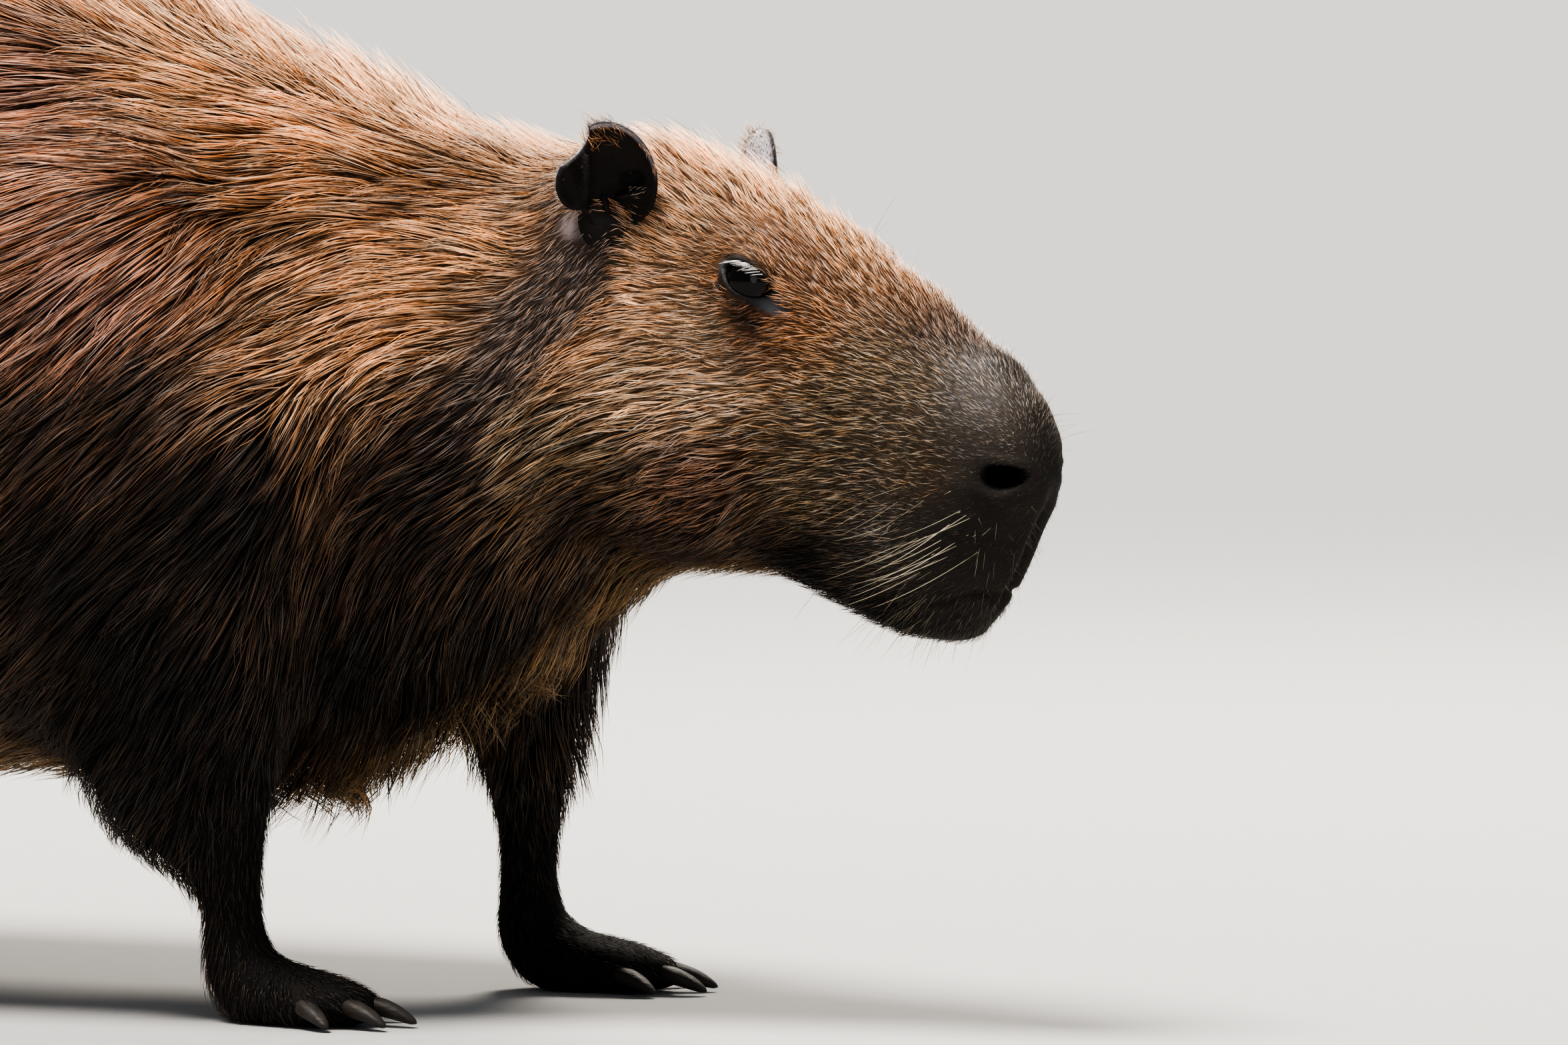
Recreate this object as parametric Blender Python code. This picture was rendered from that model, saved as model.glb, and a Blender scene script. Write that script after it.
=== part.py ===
# A standing adult capybara, head low and stretched forward, as a still life-size model.
# Metres. +X to the nose, +Y to the animal's left, +Z up, floor at Z 0.
# All sizes are on the outside of the coat. The flesh is modelled whole, then parted with thin cuts.
import math

import bmesh
import bpy
import numpy as np
from mathutils import Matrix, Vector

# Driving dimensions
NOSE = Vector((0.590, -0.034, 0.258))
HEAD_PITCH = math.radians(22)
HEAD_YAW = math.radians(8)
EYE_RADIUS = 0.0135
EYE_PLACE = Vector((-0.156, 0.0485, 0.0255))
EAR_PLACE = Vector((-0.2350, 0.0625, 0.0360))
NOSTRIL_PLACE = Vector((-0.010, 0.031, -0.0045))
SEAT_GAP = 0.0004
CUT_GAP = 0.0005
VOXEL = 0.0055
EAR_VOXEL = 0.0018
FLESH_TRIANGLES = 4200
EAR_TRIANGLES = 190
SIDES = {"left": 1, "right": -1}

# Where each foot stands: the middle of its sole, and the way its toes point
FORE_FEET = {"left": (0.273, 0.092), "right": (0.219, 0.104)}
HIND_FEET = {"left": (-0.345, 0.112), "right": (-0.405, 0.112)}
TOE_OUT = math.radians(6)

# Stations of the trunk and neck, from the rump forward: the top and the bottom of the section as
# x and z, then its half width, its squareness and how much wider it is below than above
TRUNK = [
    (-0.572, 0.462, -0.560, 0.262, 0.082, 2.2, 0.00),
    (-0.535, 0.508, -0.520, 0.205, 0.122, 2.2, 0.02),
    (-0.460, 0.543, -0.450, 0.165, 0.154, 2.3, 0.05),
    (-0.350, 0.557, -0.340, 0.140, 0.172, 2.3, 0.08),
    (-0.200, 0.555, -0.195, 0.117, 0.184, 2.3, 0.10),
    (-0.060, 0.534, -0.050, 0.105, 0.184, 2.3, 0.10),
    (0.050, 0.503, 0.075, 0.106, 0.174, 2.2, 0.10),
    (0.130, 0.466, 0.180, 0.090, 0.155, 2.2, 0.06),
    (0.200, 0.441, 0.262, 0.129, 0.133, 2.1, 0.04),
    (0.270, 0.413, 0.325, 0.165, 0.108, 2.1, 0.04),
    (0.335, 0.396, 0.380, 0.211, 0.088, 2.1, 0.06),
]
RUMP_DOME = 0.020
NECK_DOME = 0.030

# Stations of the head, from the nose back, in the head's own frame with the nose tip at its origin:
# x, the top z, the bottom z, half width, squareness, and how much wider it is below than above
SKULL = [
    (-0.030, 0.021, -0.078, 0.0360, 2.8, 0.06),
    (-0.060, 0.035, -0.084, 0.0430, 2.7, 0.10),
    (-0.095, 0.044, -0.086, 0.0465, 2.5, 0.14),
    (-0.138, 0.053, -0.088, 0.0540, 2.3, 0.14),
    (-0.178, 0.059, -0.098, 0.0620, 2.3, 0.16),
    (-0.222, 0.061, -0.110, 0.0690, 2.3, 0.18),
    (-0.262, 0.055, -0.122, 0.0760, 2.2, 0.16),
    (-0.300, 0.030, -0.125, 0.0760, 2.1, 0.12),
]
MUZZLE_DOME = 0.025
JAW = [
    (-0.024, -0.064, -0.098, 0.0245, 2.4, 0.00),
    (-0.050, -0.064, -0.104, 0.0300, 2.3, 0.00),
    (-0.080, -0.060, -0.1035, 0.0345, 2.2, 0.00),
    (-0.115, -0.050, -0.1035, 0.0400, 2.2, 0.00),
    (-0.150, -0.045, -0.1175, 0.0470, 2.2, 0.00),
    (-0.200, -0.040, -0.139, 0.0570, 2.2, 0.00),
    (-0.262, -0.030, -0.162, 0.0640, 2.2, 0.00),
]
CHIN_DOME = 0.017

# Rounded masses of the head: its place at the left side, its radii, and its nose-down turn in degrees
HEAD_MASSES = {
    "whisker_pad": ((-0.042, 0.0250, -0.048), (0.034, 0.0200, 0.033), 0),
    "nose_wing": ((-0.025, 0.0205, -0.002), (0.016, 0.0145, 0.018), 0),
    "orbit": ((-0.158, 0.0380, 0.020), (0.044, 0.0200, 0.027), 6),
    "brow": ((-0.160, 0.0420, 0.037), (0.032, 0.0135, 0.010), 8),
    "cheek": ((-0.185, 0.0480, -0.052), (0.072, 0.0260, 0.058), 20),
    "ear_base": ((-0.252, 0.0500, 0.014), (0.028, 0.0230, 0.030), 0),
    "jowl": ((-0.262, 0.0450, -0.070), (0.055, 0.0400, 0.065), 30),
}

# Rounded masses of the body: place at the left side, radii, and turn about Y in degrees
BODY_MASSES = {
    "shoulder": ((0.135, 0.112, 0.270), (0.100, 0.058, 0.140), 14),
    "thigh": ((-0.400, 0.112, 0.300), (0.140, 0.078, 0.165), -14),
    "knee": ((-0.325, 0.132, 0.205), (0.075, 0.046, 0.075), -30),
}

# The elbows: the near one stands back from its leg, the far one is tucked up behind it
ELBOWS = {"left": (0.236, 0.108, 0.150), "right": (0.170, 0.110, 0.107)}
ELBOW_RADII = (0.030, 0.036, 0.060)
ELBOW_TURN = math.radians(-46)

# Joints of a leg from the body down: x and z from the middle of the sole, y from its side, then the
# fore-and-aft and the sideways radius
FORE_LEG = [
    (-0.028, 0.015, 0.270, 0.078, 0.050),
    (-0.022, 0.012, 0.215, 0.062, 0.046),
    (-0.017, 0.008, 0.160, 0.043, 0.039),
    (-0.014, 0.004, 0.115, 0.029, 0.029),
    (-0.013, 0.002, 0.085, 0.0215, 0.0225),
    (-0.012, 0.000, 0.055, 0.0165, 0.0185),
    (-0.012, 0.000, 0.024, 0.0165, 0.0215),
]
HIND_LEG = [
    (0.045, 0.012, 0.270, 0.090, 0.056),
    (0.030, 0.018, 0.205, 0.072, 0.054),
    (-0.028, 0.010, 0.158, 0.047, 0.041),
    (-0.074, 0.002, 0.122, 0.0310, 0.0290),
    (-0.064, 0.000, 0.080, 0.0215, 0.0225),
    (-0.036, 0.000, 0.046, 0.0185, 0.0230),
    (-0.006, 0.000, 0.024, 0.0165, 0.0260),
]

# Toes: the way each points, in degrees outward, and its length from the middle of the sole
FORE_TOES = [(-24, 0.046), (-7, 0.060), (9, 0.058), (27, 0.044)]
HIND_TOES = [(-17, 0.062), (0, 0.074), (18, 0.060)]
TOE_RADIUS = 0.0118
CLAW_LENGTH = 0.021


def clear_scene():
    for obj in list(bpy.data.objects):
        bpy.data.objects.remove(obj, do_unlink=True)


def material(name, colour, roughness):
    """A Principled finish in the part's own colour."""
    made = bpy.data.materials.new(name)
    made.use_nodes = True
    shader = made.node_tree.nodes["Principled BSDF"]
    shader.inputs["Base Color"].default_value = (*colour, 1)
    shader.inputs["Roughness"].default_value = roughness
    shader.inputs["Metallic"].default_value = 0
    made.diffuse_color = (*colour, 1)
    return made


def as_object(name, mesh):
    """A bmesh as a smooth-shaded object in the scene."""
    bmesh.ops.recalc_face_normals(mesh, faces=mesh.faces)
    data = bpy.data.meshes.new(name)
    mesh.to_mesh(data)
    mesh.free()
    data.shade_smooth()
    made = bpy.data.objects.new(name, data)
    bpy.context.scene.collection.objects.link(made)
    return made


def settle(obj):
    """Applies the object's modifiers and its place to its mesh."""
    graph = bpy.context.evaluated_depsgraph_get()
    data = bpy.data.meshes.new_from_object(obj.evaluated_get(graph))
    data.transform(obj.matrix_world)
    obj.modifiers.clear()
    obj.data = data
    obj.matrix_world = Matrix.Identity(4)
    return obj


def smooth_rows(rows, steps):
    """Rows on a smooth curve through the given rows, with this many steps between two."""
    rows = np.array(rows, float)
    ends = np.vstack([2 * rows[0] - rows[1], rows, 2 * rows[-1] - rows[-2]])
    made = []
    for i in range(len(rows) - 1):
        a, b, c, d = ends[i : i + 4]
        for t in np.linspace(0, 1, steps, endpoint=False):
            cubic = (3 * b - a - 3 * c + d) * t**3 + (2 * a - 5 * b + 4 * c - d) * t**2
            made.append(0.5 * (2 * b + (c - a) * t + cubic))
    return np.array(made + [rows[-1]])


def section(top, bottom, half_width, square, low_wide, corners=32):
    """A ring in the plane through top and bottom, as a superellipse that is wider below."""
    top, bottom = np.array(top), np.array(bottom)
    turn = np.linspace(0, 2 * math.pi, corners, endpoint=False)
    across = np.sign(np.cos(turn)) * np.abs(np.cos(turn)) ** (2 / square)
    up = np.sign(np.sin(turn)) * np.abs(np.sin(turn)) ** (2 / square)
    ring = (top + bottom) / 2 + np.outer(up, (top - bottom) / 2)
    ring[:, 1] += half_width * across * (1 - low_wide * up)
    return ring


def dome(ring, outward, depth, steps=4):
    """Rings that round the end of a loft off, from this ring outward to a small flat."""
    middle = ring.mean(0)
    outward = np.array(outward) / np.linalg.norm(outward)
    made = []
    for t in np.linspace(0, 1, steps + 1)[1:]:
        shrink = max((1 - t**2.4) ** (1 / 2.4), 0.12)
        made.append(middle + (ring - middle) * shrink + outward * depth * t)
    return made


def loft(name, rings):
    """A closed solid through the rings, in order."""
    mesh = bmesh.new()
    loops = [[mesh.verts.new(point) for point in ring] for ring in rings]
    count = len(loops[0])
    for one, two in zip(loops, loops[1:]):
        for i in range(count):
            j = (i + 1) % count
            mesh.faces.new((one[i], one[j], two[j], two[i]))
    mesh.faces.new(loops[0])
    mesh.faces.new(loops[-1])
    return as_object(name, mesh)


def ellipsoid(name, place, radii, turn=None, segments=32, rings=20):
    mesh = bmesh.new()
    bmesh.ops.create_uvsphere(mesh, u_segments=segments, v_segments=rings, radius=1)
    shape = Matrix.Translation(place) @ (turn or Matrix.Identity(4))
    mesh.transform(shape @ Matrix.Diagonal((*radii, 1)))
    return as_object(name, mesh)


def limb(name, joints, steps=5, corners=20, end_steps=3):
    """A round limb through joints of x, y, z, fore-and-aft radius and sideways radius."""
    rows = smooth_rows(joints, steps)
    path = rows[:, :3]
    ways = np.gradient(path, axis=0)
    turn = np.linspace(0, 2 * math.pi, corners, endpoint=False)
    rings = []
    for place, way, (fore, side) in zip(path, ways, rows[:, 3:]):
        way = way / np.linalg.norm(way)
        across = np.array((0.0, 1.0, 0.0)) - way * way[1]
        across /= np.linalg.norm(across)
        front = np.cross(way, across)
        rings.append(
            place + np.outer(np.cos(turn), across) * side + np.outer(np.sin(turn), front) * fore
        )
    first, last = rows[0, 3:].mean(), rows[-1, 3:].mean()
    start = dome(rings[0], path[0] - path[1], first * 0.8, end_steps)[::-1]
    end = dome(rings[-1], path[-1] - path[-2], last * 0.9, end_steps)
    return loft(name, start + rings + end)


def modified(obj, kind, **settings):
    """Adds one modifier with these settings and applies it."""
    modifier = obj.modifiers.new(kind.lower(), kind)
    for key, value in settings.items():
        setattr(modifier, key, value)
    return settle(obj)


def boolean(obj, other, operation):
    return modified(obj, "BOOLEAN", operation=operation, object=other, solver="EXACT")


def grown(obj, by):
    """A copy of the object with its surface moved out by this much, for cutting its seat."""
    copy = obj.copy()
    copy.data = obj.data.copy()
    bpy.context.scene.collection.objects.link(copy)
    return modified(copy, "DISPLACE", strength=by, mid_level=0)


def remove(obj):
    bpy.data.objects.remove(obj, do_unlink=True)


def joined(name, objects):
    """One object that holds the meshes of all of them."""
    mesh = bmesh.new()
    for obj in objects:
        mesh.from_mesh(obj.data)
        remove(obj)
    data = bpy.data.meshes.new(name)
    mesh.to_mesh(data)
    mesh.free()
    made = bpy.data.objects.new(name, data)
    bpy.context.scene.collection.objects.link(made)
    return made


def head_frame():
    """Carries the head's own frame, nose tip at the origin and level, to its place and turn."""
    turn = Matrix.Rotation(-HEAD_YAW, 4, "Z") @ Matrix.Rotation(HEAD_PITCH, 4, "Y")
    return Matrix.Translation(NOSE) @ turn


def trunk_loft():
    rows = smooth_rows(TRUNK, 4)
    rings = [section((a, 0, b), (c, 0, d), half, square, wide) for a, b, c, d, half, square, wide in rows]
    back = dome(rings[0], (-1, 0, -0.1), RUMP_DOME)[::-1]
    front = dome(rings[-1], (0.9, 0, -0.4), NECK_DOME)
    return loft("trunk_form", back + rings + front)


def head_loft(name, stations, front_depth):
    rows = smooth_rows(stations, 4)
    rings = []
    for x, top, low, half, square, wide in rows:
        rings.append(section((x, 0, top), (x, 0, low), half, square, wide))
    front = dome(rings[0], (1, 0, 0), front_depth, steps=7)[::-1]
    made = loft(name, front + rings + dome(rings[-1], (-1, 0, 0), 0.02))
    made.data.transform(head_frame())
    return made


def mirrored_masses(masses, frame):
    """Each named mass on both sides of the frame's middle plane."""
    made = []
    for name, (place, radii, degrees) in masses.items():
        turn = Matrix.Rotation(math.radians(degrees), 4, "Y")
        for side, sign in SIDES.items():
            at = (place[0], place[1] * sign, place[2])
            mass = ellipsoid(f"{name}_{side}", at, radii, turn)
            mass.data.transform(frame)
            made.append(mass)
    return made


def foot_places():
    """For each foot: its name, its leg's joints, its toes and the middle of its sole."""
    for side, sign in SIDES.items():
        for end, places, leg, toes in (
            ("front", FORE_FEET, FORE_LEG, FORE_TOES),
            ("hind", HIND_FEET, HIND_LEG, HIND_TOES),
        ):
            x, y = places[side]
            yield f"{end}_{side}", sign, leg, toes, Vector((x, y * sign, 0))


def toe_way(degrees, sign):
    """The level direction of a toe: forward, turned outward."""
    angle = (math.radians(degrees) + TOE_OUT) * sign
    return Vector((math.cos(angle), math.sin(angle), 0))


def toe_path(sole, degrees, length, sign):
    """The middle line of a toe from the knuckle to where its claw starts."""
    way = toe_way(degrees, sign)
    up = Vector((0, 0, 1))
    start = sole + way * 0.010
    return [
        start + up * 0.018,
        start.lerp(sole + way * length, 0.55) + up * 0.0145,
        sole + way * length + up * 0.0092,
    ]


def legs_and_feet():
    made = []
    for side, (x, y, z) in ELBOWS.items():
        turn = Matrix.Rotation(ELBOW_TURN, 4, "Y")
        made.append(ellipsoid(f"elbow_{side}", (x, y * SIDES[side], z), ELBOW_RADII, turn))
    for name, sign, leg, toes, sole in foot_places():
        joints = [
            (sole.x + x, sole.y + y * sign, z, fore, side) for x, y, z, fore, side in leg
        ]
        made.append(limb(f"{name}_leg_form", joints))
        middle = sole + toe_way(0, sign) * 0.012
        made.append(
            ellipsoid(f"{name}_sole_form", (middle.x, middle.y, 0.0120), (0.031, 0.026, 0.0150))
        )
        for degrees, length in toes:
            path = toe_path(sole, degrees, length, sign)
            rows = [(*p, TOE_RADIUS * r, TOE_RADIUS * r) for p, r in zip(path, (1.1, 1.0, 0.88))]
            made.append(limb(f"{name}_toe_form", rows, steps=3, corners=12))
    return made


def weigh(obj, name, face_share, foot_share):
    """A vertex group that is full on the body and falls to these shares on the face and the feet."""
    group = obj.vertex_groups.new(name=name)
    into_head = head_frame().inverted()
    for vertex in obj.data.vertices:
        face = min(max(((into_head @ vertex.co).x + 0.26) / 0.08, 0), 1)
        foot = min(max((0.085 - vertex.co.z) / 0.035, 0), 1)
        share = min(1 - face * (1 - face_share), 1 - foot * (1 - foot_share))
        group.add([vertex.index], share, "REPLACE")
    return group.name


def flesh():
    """Trunk, neck, head and legs fused, smoothed and stood on flat soles."""
    parts = [trunk_loft()]
    parts.append(head_loft("skull_form", SKULL, MUZZLE_DOME))
    parts.append(head_loft("jaw_form", JAW, CHIN_DOME))
    parts += mirrored_masses(HEAD_MASSES, head_frame())
    parts += mirrored_masses(BODY_MASSES, Matrix.Identity(4))
    parts += legs_and_feet()
    body = joined("flesh", parts)
    modified(body, "REMESH", mode="VOXEL", voxel_size=VOXEL)
    modified(body, "SMOOTH", factor=0.5, iterations=6)
    blend = weigh(body, "blend", 0.0, 0.05)
    modified(body, "SMOOTH", factor=0.5, iterations=40, vertex_group=blend)
    cutter = box("below_floor", (-1, -1, -0.2), (1, 1, 0))
    faces = len(body.data.polygons) * 2
    modified(
        body,
        "DECIMATE",
        ratio=FLESH_TRIANGLES / faces,
        vertex_group=weigh(body, "coarse", 0.66, 0.78),
        vertex_group_factor=1.0,
    )
    boolean(body, cutter, "DIFFERENCE")
    remove(cutter)
    return body


def box(name, low, high, turn=None):
    mesh = bmesh.new()
    bmesh.ops.create_cube(mesh, size=1)
    low, high = Vector(low), Vector(high)
    mesh.transform(Matrix.Translation((low + high) / 2) @ Matrix.Diagonal((*(high - low), 1)))
    if turn:
        mesh.transform(turn)
    return as_object(name, mesh)


def parted(whole, name, cell):
    """Takes the part of whole inside the cell off as its own object, with a thin cut between them."""
    part = whole.copy()
    part.data = whole.data.copy()
    part.name = part.data.name = name
    bpy.context.scene.collection.objects.link(part)
    boolean(part, cell, "INTERSECT")
    wider = grown(cell, CUT_GAP)
    boolean(whole, wider, "DIFFERENCE")
    remove(wider)
    remove(cell)
    return part


def seat(host, piece):
    """Cuts a seat for the piece into its host, a little wider than the piece."""
    cutter = grown(piece, SEAT_GAP)
    boolean(host, cutter, "DIFFERENCE")
    remove(cutter)


def part_the_body(body):
    """The named pieces of flesh, cut apart along the limbs, the neck and the mouth."""
    pieces = {}
    for name, sign, _, _, sole in foot_places():
        reach = 0.27 if name.startswith("front") else 0.26
        low, high = (-0.105, 0.072) if name.startswith("front") else (-0.250, 0.135)
        tilt = Matrix.Translation((sole.x, 0, 0.15)) @ Matrix.Rotation(math.radians(-14) * sign, 4, "X")
        ends = sorted((0.030 * sign, 0.30 * sign))
        cell = box("cell", (low, ends[0], -0.25), (high, ends[1], reach - 0.15), tilt)
        leg = parted(body, f"leg_{name}", cell)
        ankle = 0.052 if name.startswith("front") else 0.066
        cell = box("cell", (sole.x - 0.2, -0.3, -0.1), (sole.x + 0.2, 0.3, ankle))
        pieces[f"foot_{name}"] = parted(leg, f"foot_{name}", cell)
        pieces[leg.name] = leg
    into_head = head_frame()
    mouth = into_head @ Matrix.Translation((0, 0, -0.076)) @ Matrix.Rotation(math.radians(-6), 4, "Y")
    lean = Matrix.Rotation(math.radians(-34), 4, "Y")
    behind_jaw = into_head @ Matrix.Translation((-0.296, 0, 0.05)) @ lean
    head = parted(body, "head", box("cell", (0, -0.3, -0.5), (0.6, 0.3, 0.3), behind_jaw))
    pieces["lower_jaw"] = parted(head, "lower_jaw", box("cell", (-0.17, -0.2, -0.3), (0.2, 0.2, 0), mouth))
    pieces["head"] = head
    before_shoulder = Matrix.Translation((0.215, 0, 0.30)) @ Matrix.Rotation(math.radians(-22), 4, "Y")
    pieces["neck"] = parted(body, "neck", box("cell", (0, -0.4, -0.5), (0.6, 0.4, 0.5), before_shoulder))
    pieces["shoulders"] = parted(body, "shoulders", box("cell", (0.03, -0.4, -0.1), (0.6, 0.4, 0.8)))
    pieces["rump"] = parted(body, "rump", box("cell", (-0.9, -0.4, -0.1), (-0.26, 0.4, 0.8)))
    body.name = body.data.name = "barrel"
    pieces["barrel"] = body
    return pieces


def ear(side, sign):
    """A round cupped ear that opens outward and forward, with a lobe behind, and its filled form."""
    outer = ellipsoid("ear", (0.0040, 0, 0.004), (0.0200, 0.0100, 0.0270))
    lobe = ellipsoid("lobe", (-0.0150, 0.0020, 0.0005), (0.0095, 0.0070, 0.0120))
    stalk = ellipsoid("stalk", (0.0010, -0.004, -0.0200), (0.0145, 0.0105, 0.0170))
    made = joined("ear_form", [outer, lobe, stalk])
    modified(made, "REMESH", mode="VOXEL", voxel_size=EAR_VOXEL)
    modified(made, "DECIMATE", ratio=EAR_TRIANGLES / (2 * len(made.data.polygons)))
    filled = grown(made, 0)
    hollow = ellipsoid("hollow", (0.0040, 0.0085, 0.0035), (0.0165, 0.0115, 0.0225), segments=12, rings=7)
    boolean(made, hollow, "DIFFERENCE")
    remove(hollow)
    made.name = made.data.name = f"ear_{side}"
    level = Matrix.Rotation(-HEAD_PITCH, 4, "Y")
    lean = Matrix.Rotation(math.radians(-14), 4, "X")
    ahead = Matrix.Rotation(math.radians(-42), 4, "Z")
    back = Matrix.Rotation(math.radians(-9), 4, "Y")
    mirror = Matrix.Diagonal((1, sign, 1, 1))
    place = Matrix.Translation((EAR_PLACE.x, EAR_PLACE.y * sign, EAR_PLACE.z))
    for form in (made, filled):
        form.data.transform(head_frame() @ place @ mirror @ level @ ahead @ lean @ back)
        if sign < 0:
            form.data.flip_normals()
    return made, filled


def eye(side, sign):
    place = head_frame() @ Vector((EYE_PLACE.x, EYE_PLACE.y * sign, EYE_PLACE.z))
    radii = (EYE_RADIUS, EYE_RADIUS, EYE_RADIUS)
    ball = ellipsoid(f"eye_{side}", place, radii, segments=12, rings=7)
    return ball, ball


def claw(name, toe_end, way):
    """A blunt hoof-like claw, from inside the toe down to just over the floor."""
    start = toe_end - way * 0.006
    rows = []
    for t, wide, tall in ((0, 0.0066, 0.0056), (0.55, 0.0062, 0.0048), (1, 0.0036, 0.0026)):
        at = start + way * CLAW_LENGTH * t
        drop = 0.0006 + 0.0068 * t**1.6
        rows.append((at.x, at.y, toe_end.z - drop + 0.0016, tall, wide))
    return limb(name, rows, steps=1, corners=5, end_steps=1)


def claws(pieces):
    made = {}
    for foot, sign, _, toes, sole in foot_places():
        for number, (degrees, length) in enumerate(toes, 1):
            end = toe_path(sole, degrees, length, sign)[-1]
            way = toe_way(degrees, sign)
            piece = claw(f"claw_{foot}_{number}", end + way * 0.004, way)
            seat(pieces[f"foot_{foot}"], piece)
            made[piece.name] = piece
    return made


def nostrils(head):
    """A shallow opening at each side of the nose, facing out and forward."""
    for sign in SIDES.values():
        turn = Matrix.Rotation(math.radians(35) * sign, 4, "Z") @ Matrix.Rotation(math.radians(12), 4, "Y")
        place = (NOSTRIL_PLACE.x, NOSTRIL_PLACE.y * sign, NOSTRIL_PLACE.z)
        hole = ellipsoid("hole", place, (0.0125, 0.0100, 0.0062), turn, segments=9, rings=6)
        hole.data.transform(head_frame())
        boolean(head, hole, "DIFFERENCE")
        remove(hole)


def tail():
    """The stub of a tail, almost hidden in the coat."""
    rows = [
        (-0.575, 0, 0.372, 0.020, 0.018),
        (-0.592, 0, 0.362, 0.017, 0.016),
        (-0.602, 0, 0.350, 0.011, 0.011),
    ]
    return limb("tail", rows, steps=2, corners=8, end_steps=2)


def stand_on_origin(pieces):
    """Moves everything level so that the middle of the whole box is over the origin."""
    points = np.array([v.co for piece in pieces.values() for v in piece.data.vertices])
    middle = (points.min(0) + points.max(0)) / 2
    for piece in pieces.values():
        piece.data.transform(Matrix.Translation((-middle[0], -middle[1], 0)))


def main():
    clear_scene()
    pieces = part_the_body(flesh())
    nostrils(pieces["head"])
    for side, sign in SIDES.items():
        for piece, filled in (eye(side, sign), ear(side, sign)):
            seat(pieces["head"], filled)
            pieces[piece.name] = piece
            if filled is not piece:
                remove(filled)
    pieces.update(claws(pieces))
    pieces["tail"] = tail()
    seat(pieces["rump"], pieces["tail"])
    stand_on_origin(pieces)
    coat = material("coat", (0.36, 0.20, 0.10), 0.75)
    finishes = {
        "eye": material("eye", (0.015, 0.010, 0.008), 0.08),
        "ear": material("ear_skin", (0.045, 0.036, 0.034), 0.65),
        "claw": material("claw", (0.10, 0.085, 0.075), 0.45),
        "foot": material("foot_skin", (0.09, 0.065, 0.055), 0.70),
    }
    for name, piece in pieces.items():
        piece.data.materials.clear()
        piece.data.materials.append(finishes.get(name.split("_")[0], coat))
        piece.data.set_sharp_from_angle(angle=math.radians(40))


main()
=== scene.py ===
"""Looks of the capybara: one skin, eyes, ears, claws and coat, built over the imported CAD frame."""
import math

import bpy
import numpy as np
from mathutils import Matrix, Vector
from mathutils.bvhtree import BVHTree
from mathutils.kdtree import KDTree


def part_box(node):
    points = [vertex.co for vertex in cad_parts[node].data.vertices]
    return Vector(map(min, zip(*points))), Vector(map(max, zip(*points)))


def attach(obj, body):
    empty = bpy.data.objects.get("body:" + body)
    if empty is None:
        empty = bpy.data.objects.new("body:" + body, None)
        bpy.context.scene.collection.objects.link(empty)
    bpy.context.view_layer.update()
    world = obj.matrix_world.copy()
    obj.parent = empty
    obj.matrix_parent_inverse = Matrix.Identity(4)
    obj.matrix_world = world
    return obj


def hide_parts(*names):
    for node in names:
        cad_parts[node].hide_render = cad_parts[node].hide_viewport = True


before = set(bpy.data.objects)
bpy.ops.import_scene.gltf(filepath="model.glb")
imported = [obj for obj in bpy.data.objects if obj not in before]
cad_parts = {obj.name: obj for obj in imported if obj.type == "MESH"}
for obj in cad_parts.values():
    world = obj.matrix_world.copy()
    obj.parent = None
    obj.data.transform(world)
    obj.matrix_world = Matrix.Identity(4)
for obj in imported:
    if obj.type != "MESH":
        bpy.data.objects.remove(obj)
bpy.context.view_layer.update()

# The camera. It stands low to the animal's front right, with a long lens, and is framed on the head,
# the neck and the forelegs. What it looks at is measured from the middle of the right eye.
PHOTO_WIDTH = 2352
PIXELS_PER_METRE = 3300
CAMERA_AZIMUTH = math.radians(25)
CAMERA_HEIGHT = math.radians(3)
CAMERA_REACH = 5.0
SENSOR_WIDTH = 36


def middle(node):
    low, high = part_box(node)
    return (low + high) / 2


LOOK_AT = middle("eye_right") + Vector((-0.0065, 0.0492, -0.1111))
towards_camera = Vector((
    math.sin(CAMERA_AZIMUTH) * math.cos(CAMERA_HEIGHT),
    -math.cos(CAMERA_AZIMUTH) * math.cos(CAMERA_HEIGHT),
    math.sin(CAMERA_HEIGHT),
))
lens = bpy.data.cameras.new("camera")
lens.sensor_width = SENSOR_WIDTH
lens.lens = SENSOR_WIDTH * CAMERA_REACH / (PHOTO_WIDTH / PIXELS_PER_METRE)
lens.clip_end = 400
camera = bpy.data.objects.new("camera", lens)
camera.location = LOOK_AT + towards_camera * CAMERA_REACH
camera.rotation_euler = (-towards_camera).to_track_quat("-Z", "Y").to_euler()
bpy.context.scene.collection.objects.link(camera)
bpy.context.scene.camera = camera
bpy.context.scene.view_settings.look = "AgX - High Contrast"


# The studio. A broad soft light comes from above, one behind the animal rims its back, and a weak one
# fills from the camera's side. The floor is a plain pale sheet that runs past the horizon.
def aimed(light, place):
    lamp = bpy.data.objects.new(light.name, light)
    lamp.location = LOOK_AT + Vector(place)
    lamp.rotation_euler = (LOOK_AT - lamp.location).to_track_quat("-Z", "Y").to_euler()
    bpy.context.scene.collection.objects.link(lamp)


def soft_light(name, place, size, watts, colour):
    light = bpy.data.lights.new(name, "AREA")
    light.shape = "DISK"
    light.size = size
    light.energy = watts
    light.color = colour
    aimed(light, place)


overhead = bpy.data.lights.new("overhead_light", "SUN")
overhead.energy = 5.8
overhead.angle = math.radians(24)
overhead.color = (1.0, 0.96, 0.90)
aimed(overhead, (-0.5, -0.65, 2.6))
soft_light("rim_light", (-0.6, 2.2, 2.2), 1.2, 95, (1.0, 0.93, 0.82))
soft_light("fill_light", (2.2, -2.8, 0.7), 1.8, 16, (0.92, 0.95, 1.0))

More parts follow.
